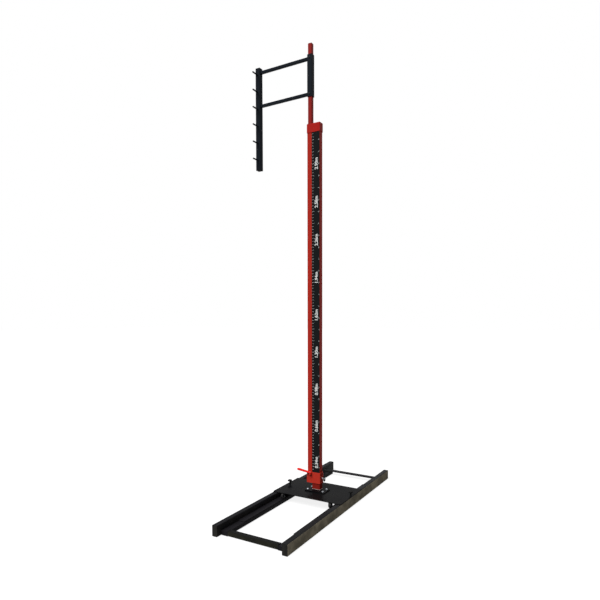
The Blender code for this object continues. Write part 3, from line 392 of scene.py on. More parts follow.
def swept(path: np.ndarray, profile: np.ndarray, reference: Sequence[float], closed: bool = False) -> Shell:
    """Carries a profile along a path.

    With t the path's direction, u is t x reference at unit length and v is t x u. A profile point (a, b)
    becomes the path's point plus a u + b v.

    Args:
        path: The path's points.
        profile: Points (a, b), the same for the whole path, or one set for each of its points.
        reference: A direction that the path never takes.
        closed: The path is a loop.

    Returns:
        The closed shell.
    """
    if closed:
        tangent = np.roll(path, -1, axis=0) - np.roll(path, 1, axis=0)
    else:
        tangent = np.gradient(path, axis=0)
    tangent /= np.linalg.norm(tangent, axis=1, keepdims=True)
    side = np.cross(tangent, np.asarray(reference, float))
    side /= np.linalg.norm(side, axis=1, keepdims=True)
    up = np.cross(tangent, side)
    rows = path[:, None] + profile[..., :1] * side[:, None] + profile[..., 1:] * up[:, None]
    return skin(rows, ring=closed)


def weld(path: np.ndarray, radius: float, reference: Sequence[float], closed: bool = False) -> Shell:
    """Lays a weld bead along a seam.

    The bead is a round whose radius is r (0.88 + 0.12 |sin(pi s / p)|) at the length s, with p the pitch of
    its ripples. Open ends taper off over one radius.

    Args:
        path: The seam's corners.
        radius: The bead's radius.
        reference: A direction that the seam never takes.
        closed: The seam is a loop.

    Returns:
        The closed shell.
    """
    pitch, steps, least = 0.9 * radius, 4, 0.02
    line = resampled(np.concatenate([path, path[:1]]) if closed else np.asarray(path, float), pitch / steps)
    line = line[:-1] if closed else line
    along = np.arange(len(line)) * pitch / steps
    swell = 0.88 + 0.12 * np.abs(np.sin(math.pi * along / pitch))
    if not closed:
        swell *= np.sqrt(np.clip(np.minimum(along, along[-1] - along) / radius + least, least, 1))
    angle = np.linspace(0, 2 * math.pi, WELD_STEPS, endpoint=False)
    circle = np.stack([np.cos(angle), np.sin(angle)], axis=-1)
    return swept(line, radius * swell[:, None, None] * circle[None], reference, closed)


def rectangle_path(size: Sequence[float], radius: float, axis: Axis, at: Sequence[float]) -> np.ndarray:
    """Returns the loop round a rectangle with round corners, across an axis and about a point.

    Args:
        size: The rectangle's two lengths.
        radius: Radius of its corners.
        axis: The axis that the loop goes round.
        at: The middle of the loop.

    Returns:
        The loop's points.
    """
    rows = rectangle_rows(size, radius, np.zeros(1), np.zeros(1), EASE_STEPS)
    return axis.turn(rows[0]) + np.asarray(at, float)


def srgb(red: int, green: int, blue: int) -> Colour:
    """Turns a colour of 0 to 255 a channel into a shader's linear colour."""
    share = np.array([red, green, blue]) / 255
    linear = np.where(share <= 0.04045, share / 12.92, ((share + 0.055) / 1.055) ** 2.4)
    return (*(float(value) for value in linear), 1.0)


class Graph:
    """A short way to write down a shader's nodes."""

    def __init__(self, tree: bpy.types.NodeTree) -> None:
        """Starts on a tree."""
        self.tree = tree

    def set(self, socket: Socket, value: object) -> None:
        """Links a socket to another, or gives it a value of its own."""
        if isinstance(value, bpy.types.NodeSocket):
            self.tree.links.new(value, socket)
        else:
            socket.default_value = value

    def add(self, kind: str, inputs: Mapping[str, object] | None = None,
            **settings: object) -> bpy.types.Node:
        """Adds a node.

        Args:
            kind: The node's type.
            inputs: Values or sockets, by the names of its inputs.
            settings: The node's own properties.

        Returns:
            The node.
        """
        node = self.tree.nodes.new(kind)
        for name, value in settings.items():
            setattr(node, name, value)
        for name, value in (inputs or {}).items():
            self.set(node.inputs[name], value)
        return node

    def math(self, operation: str, *values: object) -> Socket:
        """Adds a Math node, and returns its result."""
        node = self.add("ShaderNodeMath", operation=operation)
        for socket, value in zip(node.inputs, values):
            self.set(socket, value)
        return node.outputs[0]

    def vector(self, operation: str, first: object, second: object) -> bpy.types.Node:
        """Adds a Vector Math node."""
        node = self.add("ShaderNodeVectorMath", operation=operation)
        self.set(node.inputs[0], first)
        self.set(node.inputs[1], second)
        return node

    def mix(self, factor: object, first: object, second: object) -> Socket:
        """Mixes two colours, and returns the result."""
        node = self.add("ShaderNodeMix", data_type="RGBA")
        # Among its sockets for each type of data, these are the colours'.
        for place, value in ((0, factor), (6, first), (7, second)):
            self.set(node.inputs[place], value)
        return node.outputs[2]

    def noise(self, place: Socket, scale: object, detail: float = 3.0, distortion: float = 0.0) -> Socket:
        """Adds a noise of the given scale, and returns its value."""
        inputs = {"Vector": place, "Scale": scale, "Detail": detail, "Distortion": distortion}
        return self.add("ShaderNodeTexNoise", inputs).outputs[0]

    def ramp(self, value: Socket, low: object, high: object, bottom: float = 0.0, top: float = 1.0) -> Socket:
        """Returns a smooth step from bottom to top, as the value goes from low to high."""
        inputs = {"Value": value, "From Min": low, "From Max": high, "To Min": bottom, "To Max": top}
        return self.add("ShaderNodeMapRange", inputs, interpolation_type="SMOOTHSTEP").outputs[0]

    def bump(self, shader: bpy.types.Node, height: Socket, strength: float, distance: float,
             normal: Socket | None = None) -> None:
        """Bumps a shader's surface.

        Args:
            shader: The shader.
            height: The height to follow.
            strength: How strongly it's followed.
            distance: What a height of 1 stands for, in metres.
            normal: The normal that it starts from, where that isn't the surface's own.
        """
        inputs = {"Strength": strength, "Distance": distance, "Height": height}
        if normal is not None:
            inputs["Normal"] = normal
        self.set(shader.inputs["Normal"], self.add("ShaderNodeBump", inputs).outputs[0])

    def group(self, tree: bpy.types.NodeTree, **inputs: object) -> bpy.types.Node:
        """Adds a node group, whose inputs are named without their spaces."""
        node = self.add("ShaderNodeGroup", node_tree=tree)
        for socket in node.inputs:
            if socket.name.replace(" ", "_").lower() in inputs:
                self.set(socket, inputs[socket.name.replace(" ", "_").lower()])
        return node


class Effects:
    """The node groups that several finishes share, each built when it's first asked for."""

    @staticmethod
    def start(name: str, inputs: Mapping[str, object],
              outputs: Mapping[str, str]) -> tuple[Graph, dict[str, Socket], bpy.types.Node]:
        """Starts a group.

        Args:
            name: The group's name.
            inputs: The default of each input, a number or a vector, by its name.
            outputs: The socket type of each output, by its name.

        Returns:
            The group's graph, its input sockets by name, and its output node.
        """
        tree = bpy.data.node_groups.new(name, "ShaderNodeTree")
        for label, value in inputs.items():
            kind = "NodeSocketFloat" if isinstance(value, float) else "NodeSocketVector"
            socket = tree.interface.new_socket(name=label, in_out="INPUT", socket_type=kind)
            socket.default_value = value
        for label, kind in outputs.items():
            tree.interface.new_socket(name=label, in_out="OUTPUT", socket_type=kind)
        graph = Graph(tree)
        sockets = {socket.name: socket for socket in graph.add("NodeGroupInput").outputs if socket.name}
        return graph, sockets, graph.add("NodeGroupOutput")

    @cached_property
    def edges(self) -> bpy.types.NodeTree:
        """Finds a piece's edges: a rounded normal, and a mask where the rubbed edge shows through."""
        graph, given, result = self.start(
            "Edges", {"Place": (0.0, 0.0, 0.0), "Radius": 0.001, "Wear": 0.3},
            {"Worn": "NodeSocketFloat", "Normal": "NodeSocketVector"})
        rounded = graph.add("ShaderNodeBevel", {"Radius": given["Radius"]}, samples=4).outputs["Normal"]
        plain = graph.add("ShaderNodeNewGeometry").outputs["Normal"]
        bend = graph.math("SUBTRACT", 1.0, graph.vector("DOT_PRODUCT", rounded, plain).outputs["Value"])
        patch = graph.noise(given["Place"], 55.0, 5.0)
        reach = graph.math("MULTIPLY", graph.ramp(bend, 0.02, 0.22), given["Wear"])
        worn = graph.ramp(graph.math("ADD", reach, patch), 0.86, 0.98)
        graph.set(result.inputs["Worn"], worn)
        graph.set(result.inputs["Normal"], rounded)
        return graph.tree

    @cached_property
    def peel(self) -> bpy.types.NodeTree:
        """Gives the orange peel of a baked coat as a height, with a few specks of grit in it."""
        graph, given, result = self.start(
            "Orange peel", {"Place": (0.0, 0.0, 0.0), "Scale": 600.0}, {"Height": "NodeSocketFloat"})
        wave = graph.noise(given["Place"], given["Scale"], 2.0)
        cells = graph.add("ShaderNodeTexVoronoi", {"Vector": given["Place"], "Scale": 140.0})
        speck = graph.ramp(cells.outputs["Distance"], 0.09, 0.03)
        graph.set(result.inputs["Height"], graph.math("ADD", wave, graph.math("MULTIPLY", speck, 1.5)))
        return graph.tree

    @cached_property
    def patches(self) -> bpy.types.NodeTree:
        """Gives a slow change of tone, drawn out along one axis by the stretch."""
        graph, given, result = self.start(
            "Patches", {"Place": (0.0, 0.0, 0.0), "Stretch": (1.0, 1.0, 1.0), "Scale": 6.0},
            {"Tone": "NodeSocketFloat", "Fine": "NodeSocketFloat"})
        drawn = graph.vector("MULTIPLY", given["Place"], given["Stretch"]).outputs[0]
        slow = graph.noise(drawn, given["Scale"], 4.0, 0.4)
        fine = graph.noise(drawn, graph.math("MULTIPLY", given["Scale"], 9.0), 4.0)
        graph.set(result.inputs["Tone"], graph.ramp(slow, 0.34, 0.68))
        graph.set(result.inputs["Fine"], graph.ramp(fine, 0.38, 0.66))
        return graph.tree

    @cached_property
    def dust(self) -> bpy.types.NodeTree:
        """Gives a mask of dirt: settled on top, splashed low down, and scuffed on the base's outer faces.

        A face is an outer one where it lies in the last 4 mm of the base's width.
        """
        graph, given, result = self.start(
            "Dust", {"Place": (0.0, 0.0, 0.0), "Settled": 0.3, "Splashed": 0.3, "Reach": 0.1, "Scuffed": 0.0},
            {"Dust": "NodeSocketFloat"})
        up = graph.add("ShaderNodeSeparateXYZ", {
            "Vector": graph.add("ShaderNodeNewGeometry").outputs["Normal"]}).outputs["Z"]
        across, _, height = graph.add("ShaderNodeSeparateXYZ", {"Vector": given["Place"]}).outputs
        base = [Box.of("base_rail_left").low[0], Box.of("base_rail_right").high[0]]
        out = graph.math("ABSOLUTE", graph.math("SUBTRACT", across, sum(base) / 2))
        half = (base[1] - base[0]) / 2
        # Weight of the painted reflection: faces in the last 4 mm of the base's width, on either side.
        outer = graph.math("MULTIPLY", graph.ramp(out, half - 0.004, half - 0.0005), given["Scuffed"])
        cloud = graph.ramp(graph.noise(given["Place"], 9.0, 6.0), 0.30, 0.75)
        grain = graph.ramp(graph.noise(given["Place"], 420.0, 3.0), 0.30, 0.62, 0.55, 1.0)
        on_top = graph.math("MULTIPLY", graph.ramp(up, 0.55, 0.95), given["Settled"])
        low_down = graph.math("MULTIPLY", graph.ramp(height, given["Reach"], 0.0), given["Splashed"])
        upright = graph.ramp(graph.math("ABSOLUTE", up), 0.75, 0.25)
        both = graph.math("ADD", on_top, graph.math("MULTIPLY", low_down, upright))
        veil = graph.math("MULTIPLY", graph.math("MULTIPLY", both, cloud), grain)
        # Painted reflection: the base's upright outer faces take the dust colour, mottled by the cloud.
        painted_reflection = graph.math("MULTIPLY", graph.math("MULTIPLY", outer, upright), graph.math("ADD", cloud, 0.6))
        graph.set(result.inputs["Dust"], graph.math("MINIMUM", graph.math("ADD", veil, painted_reflection), 0.9))
        return graph.tree

    @cached_property
    def scratches(self) -> bpy.types.NodeTree:
        """Gives a mask of thin scratches, long along the axis that the stretch makes small."""
        graph, given, result = self.start(
            "Scratches", {"Place": (0.0, 0.0, 0.0), "Stretch": (1.0, 1.0, 1.0), "Amount": 0.3},
            {"Scratch": "NodeSocketFloat"})
        drawn = graph.vector("MULTIPLY", given["Place"], given["Stretch"]).outputs[0]
        line = graph.math("ABSOLUTE", graph.math("SUBTRACT", graph.noise(drawn, 90.0, 1.0), 0.5))
        thin = graph.ramp(line, 0.012, 0.002)
        where = graph.ramp(graph.noise(given["Place"], 14.0, 3.0), 0.52, 0.72)
        graph.set(result.inputs["Scratch"], graph.math("MULTIPLY", graph.math("MULTIPLY", thin, where),
                                                       given["Amount"]))
        return graph.tree


EFFECTS = Effects()


@dataclass(frozen=True)
class Finish:
    """What every finish has, and the steps that they share."""

    name: str
    slot: str
    colour: Colour
    second: Colour
    roughness: float
    specular: float = 0.5
    rise: float = 0.10
    edge: float = 0.0008
    wear: float = 0.34
    tone_scale: float = 5.0
    stretch: Triple = (1.0, 1.0, 1.0)
    bump: float = 0.5

    def material(self) -> bpy.types.Material:
        """Returns the finish's material, built when it's first asked for."""
        known = bpy.data.materials.get(self.name)
        return known if known is not None else self.build()

    def build(self) -> bpy.types.Material:
        """Makes the material."""
        made = bpy.data.materials.new(self.name)
        made.use_nodes = True
        shader = made.node_tree.nodes["Principled BSDF"]
        shader.inputs["Specular IOR Level"].default_value = self.specular
        graph = Graph(made.node_tree)
        self.dress(graph, shader, graph.add("ShaderNodeTexCoord").outputs["Object"])
        made.diffuse_color = self.colour
        return made

    def dress(self, graph: Graph, shader: bpy.types.Node, place: Socket) -> None:
        """Links the shader's sockets.

        Args:
            graph: The material's nodes.
            shader: Its Principled BSDF.
            place: The object's coordinates.
        """
        raise NotImplementedError

    def edges(self, graph: Graph, place: Socket) -> bpy.types.Node:
        """Adds the rounded normal and the mask of rubbed edges."""
        return graph.group(EFFECTS.edges, place=place, radius=self.edge, wear=self.wear)

    def tone(self, graph: Graph, place: Socket) -> bpy.types.Node:
        """Adds the slow and the fine change of tone."""
        return graph.group(EFFECTS.patches, place=place, stretch=self.stretch, scale=self.tone_scale)

    def rough(self, graph: Graph, share: Socket) -> Socket:
        """Returns a roughness that grows by the rise, as a share goes from 0 to 1."""
        return graph.ramp(share, 0.0, 1.0, self.roughness, self.roughness + self.rise)


@dataclass(frozen=True)
class PowderCoat(Finish):
    """A baked coat with orange peel, slow changes of tone, rubbed edges, scratches and dust."""

    stretch: Triple = (1.0, 1.0, 0.12)
    bump: float = 0.6
    bare: Colour = srgb(126, 122, 118)
    # Colour of the dust, also used for the painted reflection on the base's outer faces.
    dust: Colour = srgb(122, 116, 98)
    settled: float = 0.10
    splashed: float = 0.0
    reach: float = 0.10
    # Weight of a painted reflection, in the dust colour, on the base's outer faces.
    scuffed: float = 0.0
    dulled: float = 0.5
    dullest: float = 0.95
    scratch_stretch: Triple = (6.0, 6.0, 0.35)
    scratched: float = 0.25
    peel_scale: float = 550.0
    peel_depth: float = 0.00003

    def dress(self, graph: Graph, shader: bpy.types.Node, place: Socket) -> None:
        """Layers tone, scratches, rubbed edges and dust over each other."""
        edges, tone = self.edges(graph, place), self.tone(graph, place)
        scratch = graph.group(EFFECTS.scratches, place=place, stretch=self.scratch_stretch,
                              amount=self.scratched).outputs[0]
        dust = graph.group(EFFECTS.dust, place=place, settled=self.settled, splashed=self.splashed,
                           reach=self.reach, scuffed=self.scuffed).outputs[0]
        colour = graph.mix(tone.outputs["Tone"], self.colour, self.second)
        colour = graph.mix(scratch, colour, self.bare)
        colour = graph.mix(edges.outputs["Worn"], colour, self.bare)
        graph.set(shader.inputs["Base Color"], graph.mix(dust, colour, self.dust))
        rough = self.rough(graph, tone.outputs["Fine"])
        rough = graph.math("ADD", rough, graph.math("MULTIPLY", dust, self.dulled))
        graph.set(shader.inputs["Roughness"], graph.math("MINIMUM", rough, self.dullest))
        peel = graph.group(EFFECTS.peel, place=place, scale=self.peel_scale).outputs[0]
        graph.bump(shader, peel, self.bump, self.peel_depth, edges.outputs["Normal"])


@dataclass(frozen=True)
class Moulded(Finish):
    """Moulded plastic with a fine grain, rubbed edges and a little dust."""

    rise: float = 0.14
    wear: float = 0.36
    tone_scale: float = 18.0
    bump: float = 0.7
    dust: Colour = srgb(118, 113, 100)
    settled: float = 0.16
    splashed: float = 0.1
    reach: float = 0.12
    rubbed: float = 0.5
    grain: float = 700.0
    grain_depth: float = 0.000006

    def dress(self, graph: Graph, shader: bpy.types.Node, place: Socket) -> None:
        """Links the grain, the rubbed edges and the dust."""
        edges, tone = self.edges(graph, place), self.tone(graph, place)
        dust = graph.group(EFFECTS.dust, place=place, settled=self.settled, splashed=self.splashed,
                           reach=self.reach).outputs[0]
        colour = graph.mix(tone.outputs["Tone"], self.colour, self.second)
        colour = graph.mix(graph.math("MULTIPLY", edges.outputs["Worn"], self.rubbed), colour, self.dust)
        graph.set(shader.inputs["Base Color"], graph.mix(dust, colour, self.dust))
        graph.set(shader.inputs["Roughness"], self.rough(graph, tone.outputs["Fine"]))
        pores = graph.noise(place, self.grain, 1.0)
        graph.bump(shader, pores, self.bump, self.grain_depth, edges.outputs["Normal"])


@dataclass(frozen=True)
class Plated(Finish):
    """Bare or zinc plated steel: fine lines, and a mottle that is duller where it is darker."""

    rise: float = 0.16
    wear: float = 0.30
    tone_scale: float = 60.0
    lines: float = 420.0
    line_depth: float = 0.00001

    def dress(self, graph: Graph, shader: bpy.types.Node, place: Socket) -> None:
        """Links the plating's mottle and the fine lines."""
        shader.inputs["Metallic"].default_value = 1.0
        edges, tone = self.edges(graph, place), self.tone(graph, place)
        graph.set(shader.inputs["Base Color"], graph.mix(tone.outputs["Tone"], self.colour, self.second))
        graph.set(shader.inputs["Roughness"], self.rough(graph, tone.outputs["Tone"]))
        lines = graph.noise(graph.vector("MULTIPLY", place, self.stretch).outputs[0], self.lines, 2.0)
        graph.bump(shader, lines, self.bump, self.line_depth, edges.outputs["Normal"])


@dataclass(frozen=True)
class Printed(Finish):
    """Printed film: an even ink with pinholes and scratches, or the film itself."""

    rise: float = 0.12
    tone_scale: float = 10.0
    stretch: Triple = (1.0, 1.0, 0.3)
    bump: float = 0.4
    holes: float = 0.2
    hole_scale: float = 900.0
    scratch_stretch: Triple = (3.0, 3.0, 0.5)
    scratched: float = 0.4
    film_scale: float = 260.0
    film_depth: float = 0.00002

    def dress(self, graph: Graph, shader: bpy.types.Node, place: Socket) -> None:
        """Links the pinholes, the scratches and a slight change of gloss."""
        pinholes = graph.ramp(graph.noise(place, self.hole_scale, 2.0), 0.70, 0.78, 0.0, self.holes)
        scratch = graph.group(EFFECTS.scratches, place=place, stretch=self.scratch_stretch,
                              amount=self.scratched).outputs[0]
        colour = graph.mix(graph.math("MAXIMUM", pinholes, scratch), self.colour, self.second)
        graph.set(shader.inputs["Base Color"], colour)
        graph.set(shader.inputs["Roughness"], self.rough(graph, self.tone(graph, place).outputs["Fine"]))
        graph.bump(shader, graph.noise(place, self.film_scale, 2.0), self.bump, self.film_depth)


COLUMN_RED = PowderCoat("column_red", "red_paint", srgb(174, 44, 33), srgb(166, 42, 33), 0.38, 0.04)
# The foot post's red is darker than the column's, all over, to paint the shade that the collar casts on it.
FOOT_SHADED_RED = PowderCoat("foot_red", "red_paint", srgb(131, 32, 25), srgb(122, 30, 25), 0.42, 0.02)
COLLAR_RED = PowderCoat("collar_red", "red_paint", srgb(186, 52, 39), srgb(176, 48, 37), 0.38, 0.04)
MAST_RED = PowderCoat("mast_red", "red_paint", srgb(146, 35, 31), srgb(134, 34, 31), 0.40, 0.03,
                      scratched=0.55, scratch_stretch=(9.0, 9.0, 0.12))
CAP_RED = PowderCoat("cap_red", "red_paint", srgb(176, 36, 30), srgb(167, 35, 30), 0.36, 0.04)
LEVER_RED = PowderCoat("lever_enamel", "lever_red", srgb(228, 40, 34), srgb(216, 38, 33), 0.40, 0.015,
                       settled=0.02, scratched=0.12)
# The frame's khaki dust colour, weighted on the outer faces, is a painted reflection on the rails' sides as
# well as low dust.
FRAME_BLACK = PowderCoat("frame_black", "black_paint", srgb(25, 25, 28), srgb(30, 30, 31), 0.44, 0.02,
                         dust=srgb(166, 157, 136), settled=0.0, splashed=0.06, reach=0.14, scuffed=0.66,
                         stretch=(1.0, 0.15, 1.0), scratch_stretch=(6.0, 0.3, 6.0))
CROSS_BLACK = PowderCoat("cross_black", "black_paint", srgb(23, 23, 22), srgb(28, 28, 26), 0.44, 0.015,
                         dust=srgb(140, 136, 108), settled=0.0, splashed=0.10, reach=0.20,
                         stretch=(0.15, 1.0, 1.0), scratch_stretch=(0.3, 6.0, 6.0))
TRACK_BLACK = PowderCoat("track_black", "black_paint", srgb(27, 26, 29), srgb(33, 32, 34), 0.42, 0.02,
                         settled=0.0, stretch=(1.0, 0.15, 1.0), scratch_stretch=(6.0, 0.3, 6.0))
PLATE_BLACK = PowderCoat("plate_black", "black_paint", srgb(14, 14, 16), srgb(18, 18, 19), 0.18, 0.007,
                         settled=0.004, scratched=0.10, stretch=(1.0, 1.0, 1.0),
                         scratch_stretch=(1.0, 3.0, 1.0))
# The blue tint in the bracket's black is a painted reflection of the sky; the rest is the paint's own colour.
BRACKET_BLACK = PowderCoat("bracket_black", "black_paint", srgb(26, 31, 37), srgb(30, 34, 40), 0.40, 0.02,
                           settled=0.03, scratched=0.12, peel_depth=0.000015)
CRANK_BLACK = PowderCoat("crank_black", "black_paint", srgb(28, 29, 31), srgb(34, 34, 35), 0.38, 0.03)
PLASTIC = Moulded("moulded_plastic", "black_plastic", srgb(29, 29, 29), srgb(35, 35, 34), 0.52, 0.02,
                  settled=0.05)
NYLON = Moulded("cast_nylon", "nylon", srgb(34, 34, 36), srgb(42, 42, 42), 0.48, 0.03, grain=500.0)
ZINC = Plated("zinc_plate", "zinc", srgb(188, 192, 198), srgb(160, 163, 167), 0.30)
BOLT_ZINC = Plated("bolt_zinc", "zinc", srgb(178, 184, 190), srgb(140, 144, 149), 0.36)
DULL_ZINC = Plated("dull_zinc", "zinc", srgb(62, 63, 66), srgb(46, 46, 48), 0.55)
WELD = Plated("weld_metal", "zinc", srgb(150, 140, 136), srgb(110, 100, 96), 0.46)
WIRE = Plated("wire_rope", "wire", srgb(178, 180, 183), srgb(120, 120, 120), 0.40)
SCALE_FILM = Printed("scale_film", "scale_black", srgb(24, 25, 26), srgb(46, 48, 47), 0.46, 0.03)
SCALE_INK = Printed("scale_ink", "scale_black", srgb(222, 224, 222), srgb(96, 98, 96), 0.46, 0.1)


class Workshop:
    """Turns shells into pieces, dresses the CAD's own nodes, and reports both."""

    def fit(self, name: str, shell: Shell, finish: Finish, body: str = "", replaces: Sequence[str] = (),
            sharp: float = SHARP) -> None:
        """Makes a piece of a shell.

        Args:
            name: The piece's name.
            shell: Its surface, in place.
            finish: What it's finished in.
            body: The body that it moves with; the first replaced node's where it isn't given.
            replaces: The CAD nodes that it stands for.
            sharp: Edges that bend more than this, in degrees, stay sharp.
        """
        mesh = bpy.data.meshes.new(name)
        faces = [face for group in shell.faces for face in group.tolist()]
        mesh.from_pydata(shell.points.tolist(), [], faces)
        solid = bmesh.new()
        solid.from_mesh(mesh)
        bmesh.ops.remove_doubles(solid, verts=solid.verts[:], dist=MERGE)
        bmesh.ops.recalc_face_normals(solid, faces=solid.faces[:])
        solid.to_mesh(mesh)
        solid.free()
        mesh.shade_smooth()
        mesh.set_sharp_from_angle(angle=math.radians(sharp))
        mesh.materials.append(finish.material())
        piece = bpy.data.objects.new(name, mesh)
        bpy.context.scene.collection.objects.link(piece)
        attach(piece, body or frame["nodes"][replaces[0]]["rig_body"])
        if replaces:
            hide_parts(*replaces)
        LOG.info("%s: %d faces, %s, stands for %s", name, len(mesh.polygons), finish.name,
                 ", ".join(replaces) or "itself")

    def stand_in(self, node: str, work: str, shell: Shell, finish: Finish, sharp: float = SHARP) -> None:
        """Makes the finer piece that stands for one CAD node.

        Args:
            node: The CAD node.
            work: How the piece is made, which ends its name.
            shell: Its surface, in place.
            finish: What it's finished in.
            sharp: Edges that bend more than this, in degrees, stay sharp.
        """
        self.fit(f"{node}_{work}", shell, finish, replaces=[node], sharp=sharp)

    def dress(self, finish: Finish, *nodes: str) -> None:
        """Gives CAD nodes their finish."""
        for node in nodes:
            for holder in frame["nodes"][node].material_slots:
                holder.material = finish.material()
            LOG.info("%s: the CAD's own shape, %s", node, finish.name)

    def rebuild_bar(self, node: str, axis: Axis, radius: float, finish: Finish, wall: float | None = None,
                    edge: float = 0.0008) -> None:
        """Replaces a straight CAD bar or tube with a finer one that fills the same box.

        Args:
            node: The CAD node.
            axis: The axis that it lies along.
            radius: Radius of its long edges.
            finish: What it's finished in.
            wall: Thickness of a tube's wall.
            edge: Radius of the edges round its ends.
        """
        box = Box.of(node)
        width, depth, length = axis.own(box.size)
        shell = bar((width, depth), radius, -length / 2, length / 2, edge, wall).laid(axis, box.centre)
        self.stand_in(node, "rolled", shell, finish)


@dataclass
class FloorFrame:
    """The two rails with their caps, the tracks and the cross members."""

    shop: Workshop
    rail_corner: float = 0.005
    rail_wall: float = 0.003
    track_corner: float = 0.003
    track_wall: float = 0.0025
    strip_corner: float = 0.0008
    flat_corner: float = 0.0012
    cap_lid: float = 0.0033
    cap_dome: float = 0.0105
    cap_rib: float = 0.0008
    bead: float = 0.0022
    stitch: float = 0.045
    stitch_step: float = 0.24
    stitch_margin: float = 0.10

    def rails(self) -> None:
        """Rolls the rails and moulds their end caps."""
        for label in SIDES:
            self.shop.rebuild_bar(f"base_rail_{label}", Axis.Y, self.rail_corner, FRAME_BLACK, self.rail_wall)
            for end in ("front", "rear"):
                self.end_cap(f"rail_end_cap_{label}_{end}", end)

    def end_cap(self, node: str, end: str) -> None:
        """Moulds an end cap: a lid with a domed face, and a ribbed plug inside the rail.

        Args:
            node: The CAD node that it replaces.
            end: The end of the rail, front or rear.
        """
        box = Box.of(node)
        length = box.size[1]
        under_lid = length - self.cap_lid + SEAT
        plug = self.rail_wall - SEAT
        rib = plug + self.cap_rib
        profile = np.array([(rib, 0.0), (plug, 0.007), (rib, 0.008), (plug, 0.009), (plug, under_lid),
                            (0.0, under_lid), (0.0, length - 0.0022), (0.0012, length - 0.0009),
                            (self.cap_dome - 0.0007, length - 0.0007), (self.cap_dome, length)])
        rows = rectangle_rows(Axis.Y.own(box.size)[:2], self.rail_corner, *profile.T)
        way = -1 if end == "front" else 1
        shell = skin(rows * (1, 1, way)).laid(Axis.Y, box.centre - (0, way * length / 2, 0))
        self.shop.stand_in(node, "moulded", shell, PLASTIC)

    def tracks(self) -> None:
        """Rolls the tracks' running strips and dresses the track tubes."""
        for label in SIDES:
            self.shop.dress(TRACK_BLACK, f"track_tube_{label}")
            self.shop.rebuild_bar(f"running_strip_{label}", Axis.Y, self.strip_corner, TRACK_BLACK)

    def cross_members(self) -> None:
        """Rolls the front tube and the rear flat bar."""
        self.shop.rebuild_bar("cross_member_front", Axis.X, self.track_corner, CROSS_BLACK, self.track_wall)
        self.shop.rebuild_bar("cross_member_rear", Axis.X, self.flat_corner, TRACK_BLACK)

    def welds(self) -> None:
        """Lays the beads that hold the cross members and the tracks, with short stitches under the tracks."""
        cross, flat = Box.of("cross_member_front"), Box.of("cross_member_rear")
        beads = []
        for label, side in SIDES.items():
            rail, track = Box.of(f"base_rail_{label}"), Box.of(f"track_tube_{label}")
            inner, near = (rail.low[0], track.low[0]) if side > 0 else (rail.high[0], track.high[0])
            loop = rectangle_path(cross.size[1:], self.track_corner, Axis.X, (near, *cross.centre[1:]))
            beads.append(weld(loop, self.bead, ALONG_X, closed=True))
            low, high = track.low[2], track.high[2]
            stitches = np.arange(track.low[1] + self.stitch_margin, track.high[1] - self.stitch_margin,
                                 self.stitch_step)
            seams = [((flat.low[1], z), (flat.high[1], z)) for z in (flat.low[2], flat.high[2])]
            seams += [((y, low + 0.003), (y, high - 0.002)) for y in (track.low[1], track.high[1])]
            seams += [((y, low + 0.0015), (y + self.stitch, low + 0.0015)) for y in stitches]
            beads += [weld(np.array([(inner, *start), (inner, *end)]), self.bead, ALONG_X)
                      for start, end in seams]
        self.shop.fit("frame_welds", joined(beads), FRAME_BLACK, "base", sharp=60)

    def build(self) -> None:
        """Builds the whole floor frame."""
        self.rails()
        self.tracks()
        self.cross_members()
        self.welds()


